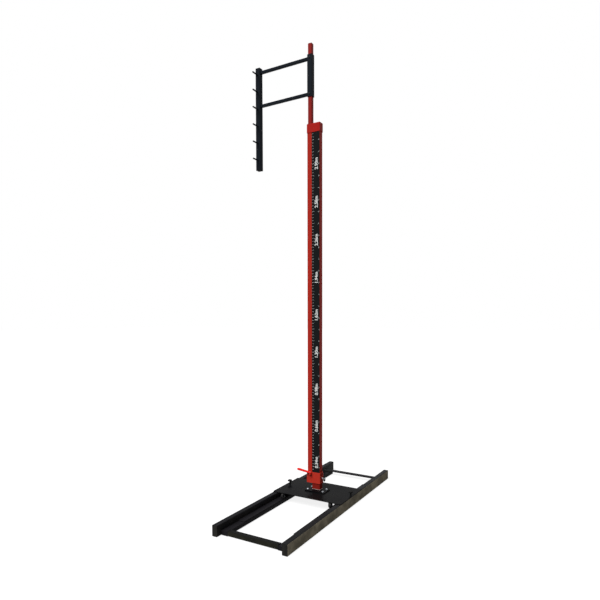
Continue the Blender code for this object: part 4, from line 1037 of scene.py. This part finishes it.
@dataclass
class Trolley:
    """The plate with its rollers and clamp knobs, and the foot that carries the column."""

    shop: Workshop
    foot_corner: float = 0.003
    bead: float = 0.0026
    bead_rise: float = 0.0004
    plate_clearance: float = 0.001
    bolt_half: float = 0.0085
    bolt_shank: float = 0.0050
    bolt_chamfer: float = 0.0012
    washer: float = 0.0104
    washer_thickness: float = 0.0015
    roller_bore: float = 0.0050
    bearing_seat: float = 0.0120
    bearing_depth: float = 0.0012
    knob_lobes: int = 5
    knob_depth: float = 0.23
    knob_height: float = 0.014
    knob_stud: float = 0.0050

    def plate(self) -> None:
        """Dresses the plate, the flange and the foot post, and lays the foot's weld."""
        self.shop.dress(PLATE_BLACK, "trolley_plate", "post_flange")
        # The darker red on the foot post is painted shade from the collar above.
        self.shop.dress(FOOT_SHADED_RED, "foot_post")
        foot, column = Box.of("foot_post"), Box.of("column_extrusion")
        at = (foot.centre[0], column.centre[1], Box.of("post_flange").high[2] + self.bead_rise)
        loop = rectangle_path((foot.size[0], column.size[1]), self.foot_corner, Axis.Z, at)
        self.shop.fit("foot_weld", weld(loop, self.bead, (0, 0, 1), closed=True), WELD, "trolley", sharp=60)

    def bolts(self) -> None:
        """Turns the flange bolts: a chamfered hexagon head, a washer, a plain shank and a nut."""
        half, shank, chamfer = self.bolt_half, self.bolt_shank, self.bolt_chamfer
        washer, ease = self.washer, 0.0003
        under = Box.of("base_rail_left").high[2] + self.plate_clearance - SEAT
        seat = Box.of("post_flange").high[2] + SEAT
        head = seat + self.washer_thickness
        for number in range(1, 5):
            node = f"flange_bolt_{number}"
            box = Box.of(node)
            low, high = box.low[2], box.high[2]
            profile = [(0.0042, low, 0), (half * 0.98, low, 0), (half, low + chamfer, 1),
                       (half, under - chamfer, 1), (half * 0.98, under, 0), (shank, under, 0),
                       (shank, seat, 0), (washer - ease, seat, 0), (washer, seat + ease, 0),
                       (washer, head - ease, 0), (washer - ease, head, 0), (half * 1.02, head, 0),
                       (half * 1.02, head + 0.0004, 0), (half, head + 0.0005, 1), (half, high - 0.0016, 1),
                       (half * 0.99, high - 0.0004, 0), (half * 0.93, high, 0),
                       (half * 0.5, high - 0.0002, 0)]
            shell = turned(profile, outline=hexagonal).laid(Axis.Z, box.foot)
            self.shop.stand_in(node, "headed", shell, BOLT_ZINC, sharp=24)

    def rollers(self) -> None:
        """Turns the rollers with a crowned tread and a bearing in each face, and dresses their axles."""
        bore, seat, depth = self.roller_bore, self.bearing_seat, self.bearing_depth
        hub, rim = bore + 0.0002, seat - 0.0002
        for number in range(1, 5):
            node = f"track_roller_{number}"
            box = Box.of(node)
            radius, half = box.size[2] / 2, box.size[0] / 2
            tread = [(radius - 0.0025, half), (radius - 0.0008, half - 0.0006), (radius, half * 0.45)]
            recess = [(seat + 0.0005, -half), (seat, -half + depth), (bore, -half + depth)]
            wheel = turned(tread + mirrored(tread) + recess + mirrored(recess), ring=True)
            self.shop.stand_in(node, "turned", wheel.laid(Axis.X, box.centre), NYLON)
            face, shield, back = -half + 0.0004, -half + 0.0009, -half + 0.0016
            race = [(hub, face), (0.0074, face), (0.0077, shield), (0.0094, shield), (0.0097, face),
                    (rim, face), (rim, back), (hub, back)]
            pair = [turned([(r, way * z) for r, z in race], ring=True) for way in (1, -1)]
            self.shop.fit(f"{node}_bearings", joined(pair).laid(Axis.X, box.centre), DULL_ZINC,
                          f"roller_{number}")
            self.shop.dress(DULL_ZINC, f"roller_axle_{number}")

    def knobs(self) -> None:
        """Moulds the clamp knobs: a lobed head with a dished top on a round boss, over a threaded stud."""
        seat = Box.of("trolley_plate").high[2] + SEAT
        for label in SIDES:
            node = f"clamp_knob_{label}"
            box = Box.of(node)
            radius, high = box.size[0] / 2, box.high[2]
            neck = high - self.knob_height
            boss = [(self.knob_stud, box.low[2], 0), (self.knob_stud, seat, 0), (0.0075, seat, 0),
                    (0.0078, seat + 0.0007, 0), (0.0066, neck - 0.004, 0), (0.0090, neck, 0)]
            head = [(radius * 0.72, neck + 0.0006, 0.4), (radius * 0.96, neck + 0.0030, 1),
                    (radius, neck + 0.0060, 1), (radius * 0.985, high - 0.0034, 1),
                    (radius * 0.90, high - 0.0010, 1), (radius * 0.76, high, 0.8),
                    (radius * 0.58, high - 0.0002, 0.2), (radius * 0.52, high - 0.0016, 0),
                    (0.0010, high - 0.0020, 0)]
            profile = np.array(boss + head)
            line = np.concatenate([profile[:4], eased(profile[3:], 0.0012)[1:]])
            shell = turned(line, 72, outline=lobes(self.knob_lobes, self.knob_depth))
            self.shop.stand_in(node, "moulded", shell.laid(Axis.Z, box.foot), PLASTIC, sharp=50)

    def build(self) -> None:
        """Builds the whole trolley."""
        self.plate()
        self.bolts()
        self.rollers()
        self.knobs()


@dataclass
class Scale:
    """The printed marks on the column's black strip: ticks, decimetre marks and numbers.

    A tick's and a mark's two sizes are its length along X and its height.
    """

    shop: Workshop
    ink: float = 0.00018
    tick: tuple[float, float] = (0.016, 0.0014)
    long_tick: tuple[float, float] = (0.020, 0.0017)
    mark: tuple[float, float] = (0.007, 0.0016)
    tick_step: float = 0.025
    mark_step: float = 0.100
    tick_margin: float = 0.003
    mark_margin: float = 0.002
    end_margin: float = 0.010
    small_height: float = 0.0050
    small_margin: float = 0.0080
    small_drop: float = 0.0060
    large_height: float = 0.028
    large_margin: float = 0.0455
    large_weight: float = 0.0012
    large_step: float = 0.320
    first_large: float = 0.340
    last_margin: float = 0.100
    cap_height: float = 0.70

    def __post_init__(self) -> None:
        """Reads the strip's place."""
        self.strip = Box.of("scale_strip")

    def dashes(self, size: tuple[float, float], x: float, heights: np.ndarray) -> Shell:
        """Prints a row of dashes with round ends.

        Args:
            size: Their length along X, and their height.
            x: Their middle.
            heights: Where they lie.

        Returns:
            The dashes in one shell.
        """
        width, thickness = size
        dash = bar((thickness, width), thickness * 0.4, -self.ink, 0.0, self.ink / 3)
        face = self.strip.low[1]
        steps = np.stack([np.full_like(heights, x), np.full_like(heights, face), heights], axis=-1)
        return dash.laid(Axis.Y, (0.0, 0.0, 0.0)).repeated(steps)

    def number(self, text: str, height: float, x: float, z: float, upward: bool, weight: float) -> Shell:
        """Prints a number.

        A letter's (x, y, z) becomes (x, -z, y) on the strip, or (-y, -z, x) where it reads upward.

        Args:
            text: The number.
            height: Height of its figures.
            x: Its middle along X.
            z: Its middle height.
            upward: It reads upward, with its figures' tops to the left.
            weight: How much its strokes are thickened.

        Returns:
            The figures, in place.
        """
        curve = bpy.data.curves.new("figures", "FONT")
        curve.body = text
        curve.size = height / self.cap_height
        curve.align_x = "CENTER"
        curve.align_y = "CENTER"
        curve.extrude = self.ink / 2
        curve.offset = weight
        curve.resolution_u = 4
        writer = bpy.data.objects.new("figures", curve)
        bpy.context.scene.collection.objects.link(writer)
        mesh = bpy.data.meshes.new_from_object(writer.evaluated_get(bpy.context.evaluated_depsgraph_get()))
        mesh.calc_loop_triangles()
        points = np.empty(len(mesh.vertices) * 3)
        mesh.vertices.foreach_get("co", points)
        faces = np.empty(len(mesh.loop_triangles) * 3, int)
        mesh.loop_triangles.foreach_get("vertices", faces)
        bpy.data.objects.remove(writer)
        bpy.data.curves.remove(curve)
        bpy.data.meshes.remove(mesh)
        across, up, out = points.reshape(-1, 3).T
        flat = (-up, -out, across) if upward else (across, -out, up)
        at = (x, self.strip.low[1] - self.ink / 2, z)
        return Shell(np.stack(flat, axis=-1) + at, (faces.reshape(-1, 3),))

    def build(self) -> None:
        """Dresses the strip and prints its marks."""
        self.shop.dress(SCALE_FILM, "scale_strip")
        (left, _, low), (right, _, high) = self.strip.low, self.strip.high
        first = math.ceil((low + self.end_margin) / self.tick_step)
        last = math.floor((high - self.end_margin) / self.tick_step)
        counts = np.arange(first, last + 1)
        whole = counts % round(self.mark_step / self.tick_step) == 0
        marks, between = counts[whole] * self.tick_step, counts[~whole] * self.tick_step
        prints = {
            "ticks": [self.dashes(size, left + self.tick_margin + size[0] / 2, heights)
                      for size, heights in ((self.tick, between), (self.long_tick, marks))],
            "marks": [self.dashes(self.mark, right - self.mark_margin - self.mark[0] / 2, marks)],
            "small_numbers": [self.number(str(round(z * 100)), self.small_height, right - self.small_margin,
                                          z - self.small_drop, False, 0.0) for z in marks],
            "large_numbers": [self.number(f"{z:.2f}m", self.large_height, left + self.large_margin, z, True,
                                          self.large_weight)
                              for z in np.arange(self.first_large, high - self.last_margin, self.large_step)],
        }
        for name, shells in prints.items():
            self.shop.fit(f"scale_{name}", joined(shells), SCALE_INK, "trolley", sharp=30)


@dataclass
class Column:
    """The two-chamber column with its cap, bush and collar."""

    shop: Workshop

    def build(self) -> None:
        """Dresses the column, its collar, cap and bush, and prints its scale."""
        self.shop.dress(COLUMN_RED, "column_extrusion")
        self.shop.dress(COLLAR_RED, "lower_collar")
        self.shop.dress(CAP_RED, "column_cap", "pulley_axle")
        self.shop.dress(PLASTIC, "mast_guide_bush")
        Scale(self.shop).build()


@dataclass
class Winch:
    """The crank with its grip, the drum, the top pulley, the cable and the lock lever."""

    shop: Workshop
    arm_edge: float = 0.0018
    arm_sink: float = 0.0004
    grip_radius: float = 0.0110
    grip_bulge: float = 0.0012
    grip_ripple: float = 0.0002
    grip_ripples: int = 6
    grip_shoulder: float = 0.0092
    grip_pin: float = 0.0040
    rivet: float = 0.0065
    lever_edge: float = 0.0024
    lever_tip: float = 0.016
    lever_slope: float = 0.12
    pin_shank: float = 0.0030
    pin_rim: float = 0.0008
    cable_radius: float = 0.00125
    groove: float = 0.0215
    drum_flange: float = 0.0035
    drum_pitch: float = 0.0034
    drum_turns: int = 3
    shoe_groove: float = 0.010
    lay: float = 0.016
    lay_steps: int = 8
    strands: int = 6

    def crank(self) -> None:
        """Forges the arm, and adds the cap that holds it on its shaft."""
        arm, shaft = Box.of("crank_arm"), Box.of("crank_shaft")
        radius = arm.size[1] / 2
        shell = capsule(radius, radius, arm.size[2] - 2 * radius, 0.0, arm.size[0], self.arm_edge)
        # Laid along X, the arm's own Y points up and its own X to the rear, so it takes a quarter turn first.
        shell = Shell(shell.points[:, [1, 0, 2]] * (1, -1, 1), shell.faces)
        root = (arm.low[0], arm.centre[1], arm.low[2] + radius)
        self.shop.stand_in("crank_arm", "forged", shell.laid(Axis.X, root), CRANK_BLACK, sharp=50)
        self.shop.dress(ZINC, "crank_shaft", "winch_drum")
        cap = [(0.0105, 0.0), (0.0105, 0.0022), (0.0070, 0.0022), (0.0060, 0.0030), (0.0010, 0.0030)]
        seat = (arm.high[0] - self.arm_sink, arm.centre[1], shaft.centre[2])
        self.shop.fit("crank_shaft_cap", turned(eased(cap, 0.0006), 32).laid(Axis.X, seat), ZINC, "crank")

    def grip(self) -> None:
        """Moulds the grip, on its pin with a riveted end.

        At the share s of its length the radius is r - b (1 - sin(pi s)) - q cos(2 pi n s), with b the bulge
        and q the depth of its n ripples.
        """
        grip = Box.of("crank_grip")
        inner, outer = grip.low[0], grip.high[0]
        start = Box.of("crank_arm").high[0] + SEAT
        share = np.linspace(0, 1, 15)[1:-1]
        ripple = self.grip_ripple * np.cos(2 * self.grip_ripples * np.pi * share)
        radius = self.grip_radius - self.grip_bulge * (1 - np.sin(np.pi * share)) - ripple
        middle = np.stack([radius, start + 0.003 + share * (outer - start - 0.006)], axis=-1)
        profile = np.concatenate([
            [(0.0010, inner), (self.rivet - 0.0005, inner), (self.rivet, inner + 0.0006),
             (self.rivet, inner + 0.0027), (self.grip_pin, inner + 0.0030), (self.grip_pin, start),
             (0.0075, start), (self.grip_shoulder, start + 0.0012)],
            middle,
            [(self.grip_shoulder, outer - 0.0014), (0.0070, outer - 0.0002), (0.0010, outer)]])
        shell = turned(profile, 40).laid(Axis.X, (0.0, *grip.centre[1:]))
        self.shop.stand_in("crank_grip", "moulded", shell, PLASTIC, sharp=50)

    def lever(self) -> None:
        """Forges the lock lever with round edges, and turns its pin with a domed head.

        The lever rises: a point's height gains a share, the slope, of the point's distance from the pin.
        """
        lever, pin = Box.of("lock_lever"), Box.of("lever_pin")
        tip, slope, pivot = self.lever_tip, self.lever_slope, pin.centre[0]
        root, reach = lever.high[0] - pivot, pivot - lever.low[0]
        low, high = lever.low[2] + slope * root, lever.high[2] - slope * reach
        shell = capsule(root, tip, reach - tip, low, high, self.lever_edge)
        shell = Shell(shell.points - shell.points[:, :1] * (0.0, 0.0, slope), shell.faces)
        shell = shell.laid(Axis.Z, (pivot, lever.centre[1], 0.0))
        self.shop.stand_in("lock_lever", "forged", shell, LEVER_RED, sharp=50)
        head, shank = pin.size[0] / 2, self.pin_shank
        seat = high + slope * head + SEAT
        rim = seat + self.pin_rim
        turn = np.linspace(0, math.pi / 2, 7)
        dome = [np.maximum(head * np.cos(turn), TIP), rim + (pin.high[2] - rim) * np.sin(turn)]
        under = [(TIP, pin.low[2]), (shank - 0.0005, pin.low[2]), (shank, pin.low[2] + 0.0005), (shank, seat),
                 (head, seat)]
        profile = np.concatenate([under, np.transpose(dome)])
        self.shop.stand_in("lever_pin", "headed", turned(profile, 32).laid(Axis.Z, pin.foot), ZINC)

    def cable(self) -> None:
        """Lays the wire rope: six strands twisted round each other, along the CAD cable's route.

        The radius at angle a of a row is r (0.84 + 0.16 |cos(n (a - w) / 2)|) for n strands, and the twist w
        grows by a whole turn over each lay.
        """
        drum, pulley, groove = Box.of("winch_drum"), Box.of("top_pulley"), self.groove
        wound = drum.size[1] / 2 - self.drum_flange + SEAT + self.cable_radius
        middle, y, top = pulley.centre[0], drum.centre[1], pulley.centre[2]
        left = np.linspace(self.drum_turns, 0, self.drum_turns * 60 + 1)
        angle = math.pi + 2 * math.pi * left
        coil = np.stack([middle + groove - self.drum_pitch * left, y + wound * np.cos(angle),
                         drum.centre[2] + wound * np.sin(angle)], axis=-1)
        over = np.linspace(0, math.pi, 40)
        bend = np.stack([middle + groove * np.cos(over), np.full_like(over, y), top + groove * np.sin(over)],
                        axis=-1)
        foot = [(middle - groove, y, Box.of("mast_foot_shoe").low[2] + self.shoe_groove)]
        path = resampled(np.concatenate([coil, bend, foot]), self.lay / self.lay_steps)
        twist = np.linspace(0, 1, len(path)) * (len(path) - 1) / self.lay_steps * 2 * math.pi
        around = np.linspace(0, 2 * math.pi, 3 * self.strands, endpoint=False)
        lobe = np.abs(np.cos(self.strands * (around[None] - twist[:, None]) / 2))
        radius = self.cable_radius * (0.84 + 0.16 * lobe)
        profile = np.stack([radius * np.cos(around), radius * np.sin(around)], axis=-1)
        self.shop.stand_in("lifting_cable", "laid", swept(path, profile, (1.0, 1.0, 0.0)), WIRE, sharp=80)

    def build(self) -> None:
        """Builds the winch and what it drives."""
        self.crank()
        self.grip()
        self.lever()
        self.shop.dress(NYLON, "top_pulley")
        self.cable()


@dataclass
class Mast:
    """The mast, with its top plug and foot shoe."""

    shop: Workshop
    corner: float = 0.004
    wall: float = 0.0025
    edge: float = 0.0006
    dome: float = 0.007

    def build(self) -> None:
        """Rolls the mast and moulds its plug, whose lid is domed."""
        self.shop.rebuild_bar("mast_tube", Axis.Z, self.corner, MAST_RED, self.wall, self.edge)
        tube, plug = Box.of("mast_tube"), Box.of("mast_top_plug")
        inside, lid = self.wall + SEAT, tube.high[2] + SEAT
        rim = lid + 0.0006
        turn = np.linspace(0, math.pi / 2, 6)
        inset = np.append([inside + 0.001, inside, inside, 0.0], self.dome * (1 - np.cos(turn)))
        height = np.append([plug.low[2], plug.low[2] + 0.002, lid, lid],
                           rim + (plug.high[2] - rim) * np.sin(turn))
        rows = rectangle_rows(tube.size[:2], self.corner, inset, height)
        self.shop.stand_in("mast_top_plug", "moulded", skin(rows).laid(Axis.Z, tube.foot), MAST_RED)
        self.shop.dress(PLASTIC, "mast_foot_shoe")


@dataclass
class Bracket:
    """The sleeve on the mast, the arms and the peg bar with its pegs."""

    shop: Workshop
    arm_corner: float = 0.003
    arm_wall: float = 0.002
    bar_corner: float = 0.003
    bead: float = 0.0024
    pegs: int = 6
    peg_tip: float = 0.0040
    peg_bead: float = 0.0016
    screw_head: float = 0.0060
    screw_rim: float = 0.0016
    screw_shank: float = 0.0040
    socket: float = 0.0040
    socket_rim: float = 0.0012

    def screws(self) -> None:
        """Turns the sleeve's two screws: a button head with a hexagon socket, and the shank behind it."""
        head, rim, socket = self.screw_head, self.screw_rim, self.socket
        mouth = socket + self.socket_rim
        turn = np.linspace(0, math.pi / 2, 7)[:-1]
        for number in (1, 2):
            node = f"sleeve_screw_{number}"
            box = Box.of(node)
            radius = box.size[0] / 2
            shank = box.size[1] - head
            dome = [mouth + (radius - mouth) * np.cos(turn), rim + (head - rim) * np.sin(turn), 0 * turn]
            under = [(TIP, -shank, 0), (self.screw_shank, -shank, 0), (self.screw_shank, 0.0, 0),
                     (radius, 0.0, 0)]
            inside = [(mouth - 0.0002, head, 0), (socket, head - 0.0002, 1), (socket, 0.0024, 1),
                      (TIP, 0.0018, 0)]
            profile = np.concatenate([under, np.transpose(dome), inside])
            at = (box.centre[0], box.low[1] + head, box.centre[2])
            shell = turned(profile * (1, -1, 1), outline=hexagonal).laid(Axis.Y, at)
            self.shop.stand_in(node, "turned", shell, DULL_ZINC, sharp=30)

    def arms(self) -> None:
        """Rolls the two arms and lays the weld round each of their ends."""
        beads = []
        ends = (Box.of("peg_bar").high[0], Box.of("bracket_sleeve").low[0])
        for node in ("arm_upper", "arm_lower"):
            self.shop.rebuild_bar(node, Axis.X, self.arm_corner, BRACKET_BLACK, self.arm_wall)
            box = Box.of(node)
            for x in ends:
                loop = rectangle_path(box.size[1:], self.arm_corner, Axis.X, (x, *box.centre[1:]))
                beads.append(weld(loop, self.bead, ALONG_X, closed=True))
        self.shop.fit("bracket_welds", joined(beads), BRACKET_BLACK, "mast", sharp=60)

    def peg_row(self) -> None:
        """Turns the pegs, each with a ring of weld at its root."""
        face = Box.of("peg_bar").low[1]
        turn = np.linspace(0, math.pi / 2, 7)
        angle = np.linspace(0, 2 * math.pi, 24, endpoint=False)
        tip = self.peg_tip
        beads = []
        for number in range(1, self.pegs + 1):
            node = f"peg_{number}"
            box = Box.of(node)
            radius, (x, _, z) = box.size[0] / 2, box.centre
            end = [radius - tip * (1 - np.cos(turn)), box.size[1] - tip * (1 - np.sin(turn))]
            profile = np.concatenate([[(radius, 0.0)], np.transpose(end)]) * (1, -1)
            shell = turned(profile, 32).laid(Axis.Y, (x, box.high[1], z))
            self.shop.stand_in(node, "turned", shell, BRACKET_BLACK, sharp=50)
            ring = [x + radius * np.cos(angle), np.full_like(angle, face), z + radius * np.sin(angle)]
            beads.append(weld(np.transpose(ring), self.peg_bead, (0, 1, 0), closed=True))
        self.shop.fit("peg_welds", joined(beads), BRACKET_BLACK, "mast", sharp=60)

    def caps(self) -> None:
        """Moulds the bar's end caps: a plug inside the bar, and a lid with an eased rim."""
        upright = Box.of("peg_bar")
        for label, way in (("top", 1), ("bottom", -1)):
            node = f"peg_bar_cap_{label}"
            box = Box.of(node)
            length = box.size[2]
            profile = np.array([(0.0030, 0.0), (0.0028, 0.0200), (0.0, 0.0203), (0.0, length - 0.0014),
                                (0.0006, length - 0.0005), (0.0018, length - 0.0001), (0.0045, length)])
            rows = rectangle_rows(upright.size[:2], self.bar_corner, profile[:, 0], way * profile[:, 1])
            base = box.low[2] if way > 0 else box.high[2]
            shell = skin(rows).laid(Axis.Z, (*upright.centre[:2], base))
            self.shop.stand_in(node, "moulded", shell, PLASTIC)

    def build(self) -> None:
        """Builds the whole bracket."""
        self.shop.dress(BRACKET_BLACK, "bracket_sleeve", "peg_bar")
        self.screws()
        self.arms()
        self.peg_row()
        self.caps()


@dataclass
class Studio:
    """The camera, the floor, the white surroundings and the lamp."""

    place: Triple = (2.216, -3.765, 1.601)
    yaw: float = math.radians(30.251)
    pitch: float = math.radians(3.004)
    roll: float = math.radians(-0.132)
    focal: float = 506.27 / 600
    middle: float = 343.99 / 600
    ambient: float = 0.20
    key: float = 3.60
    key_from: Triple = (-0.12, -0.60, 0.79)
    key_angle: float = math.radians(38)
    floor_size: float = 120.0
    floor_height: float = -0.0004
    floor_pale: float = 0.22
    floor_shade: float = 0.24
    floor_glow: float = 0.85

    def camera(self) -> None:
        """Sets up the camera where the photograph was taken from."""
        sin_yaw, cos_yaw = math.sin(self.yaw), math.cos(self.yaw)
        sin_pitch, cos_pitch = math.sin(self.pitch), math.cos(self.pitch)
        ahead = Vector((-sin_yaw * cos_pitch, cos_yaw * cos_pitch, -sin_pitch))
        right = Vector((cos_yaw, sin_yaw, 0.0))
        up = right.cross(ahead)
        across = math.cos(self.roll) * right + math.sin(self.roll) * up
        upright = math.cos(self.roll) * up - math.sin(self.roll) * right
        lens = bpy.data.cameras.new("camera")
        lens.sensor_width = 36.0
        lens.sensor_fit = "HORIZONTAL"
        lens.lens = self.focal * lens.sensor_width
        lens.shift_y = self.middle - 0.5
        lens.clip_end = 200.0
        holder = bpy.data.objects.new("camera", lens)
        turn = Matrix((across, upright, -ahead)).transposed().to_4x4()
        holder.matrix_world = Matrix.Translation(self.place) @ turn
        bpy.context.scene.collection.objects.link(holder)
        bpy.context.scene.camera = holder

    @staticmethod
    def shown(graph: Graph, light: bpy.types.Node, seen: bpy.types.Node) -> bpy.types.Node:
        """Mixes two shaders by what a ray is for.

        Args:
            graph: The nodes of the world or of a material.
            light: The shader for rays that carry light.
            seen: The shader for rays that show it: from the camera, or by way of gloss or glass.

        Returns:
            The mixed shader.
        """
        path = graph.add("ShaderNodeLightPath").outputs
        either = graph.math("MAXIMUM", path["Is Camera Ray"], path["Is Glossy Ray"])
        mixed = graph.add("ShaderNodeMixShader")
        graph.set(mixed.inputs[0], graph.math("MAXIMUM", either, path["Is Transmission Ray"]))
        graph.set(mixed.inputs[1], light.outputs[0])
        graph.set(mixed.inputs[2], seen.outputs[0])
        return mixed

    def surroundings(self) -> None:
        """Makes the world white where it's seen, and an even soft light elsewhere."""
        world = bpy.data.worlds.new("surroundings")
        bpy.context.scene.world = world
        world.use_nodes = True
        world.node_tree.nodes.clear()
        graph = Graph(world.node_tree)
        light, white = (graph.add("ShaderNodeBackground", {"Color": WHITE, "Strength": strength})
                        for strength in (self.ambient, 1.0))
        graph.add("ShaderNodeOutputWorld", {"Surface": self.shown(graph, light, white).outputs[0]})

    def floor(self) -> None:
        """Lays the pale floor, which shows white and keeps the object's shadow."""
        paint = bpy.data.materials.new("floor")
        paint.use_nodes = True
        paint.node_tree.nodes.clear()
        graph = Graph(paint.node_tree)
        pale, shade = (graph.add("ShaderNodeBsdfDiffuse", {"Color": (tone, tone, tone, 1.0)})
                       for tone in (self.floor_pale, self.floor_shade))
        glow = graph.add("ShaderNodeEmission", {"Color": WHITE, "Strength": self.floor_glow})
        bright = graph.add("ShaderNodeAddShader")
        graph.set(bright.inputs[0], shade.outputs[0])
        graph.set(bright.inputs[1], glow.outputs[0])
        graph.add("ShaderNodeOutputMaterial", {"Surface": self.shown(graph, pale, bright).outputs[0]})
        corners = [(x * self.floor_size / 2, y * self.floor_size / 2, self.floor_height)
                   for x, y in ((-1, -1), (1, -1), (1, 1), (-1, 1))]
        mesh = bpy.data.meshes.new("floor")
        mesh.from_pydata(corners, [], [(0, 1, 2, 3)])
        mesh.materials.append(paint)
        ground = bpy.data.objects.new("floor", mesh)
        bpy.context.scene.collection.objects.link(ground)

    def lamp(self) -> None:
        """Hangs the one soft lamp, high at the front left."""
        light = bpy.data.lights.new("key", "SUN")
        light.energy = self.key
        light.angle = self.key_angle
        holder = bpy.data.objects.new("key", light)
        holder.rotation_euler = Vector(self.key_from).to_track_quat("Z", "Y").to_euler()
        bpy.context.scene.collection.objects.link(holder)

    def build(self) -> None:
        """Sets up the whole studio."""
        self.camera()
        self.surroundings()
        self.floor()
        self.lamp()
        bpy.context.scene.view_settings.view_transform = "Standard"


def main() -> None:
    """Builds every sub-assembly in order, and writes down the sizes."""
    logging.basicConfig(level=logging.INFO, format="%(name)s %(message)s", stream=sys.stdout)
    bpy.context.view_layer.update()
    Studio().build()
    shop = Workshop()
    for assembly in (FloorFrame, Trolley, Column, Winch, Mast, Bracket):
        LOG.info("%s", assembly.__doc__)
        assembly(shop).build()


if __name__ == "__main__":
    main()
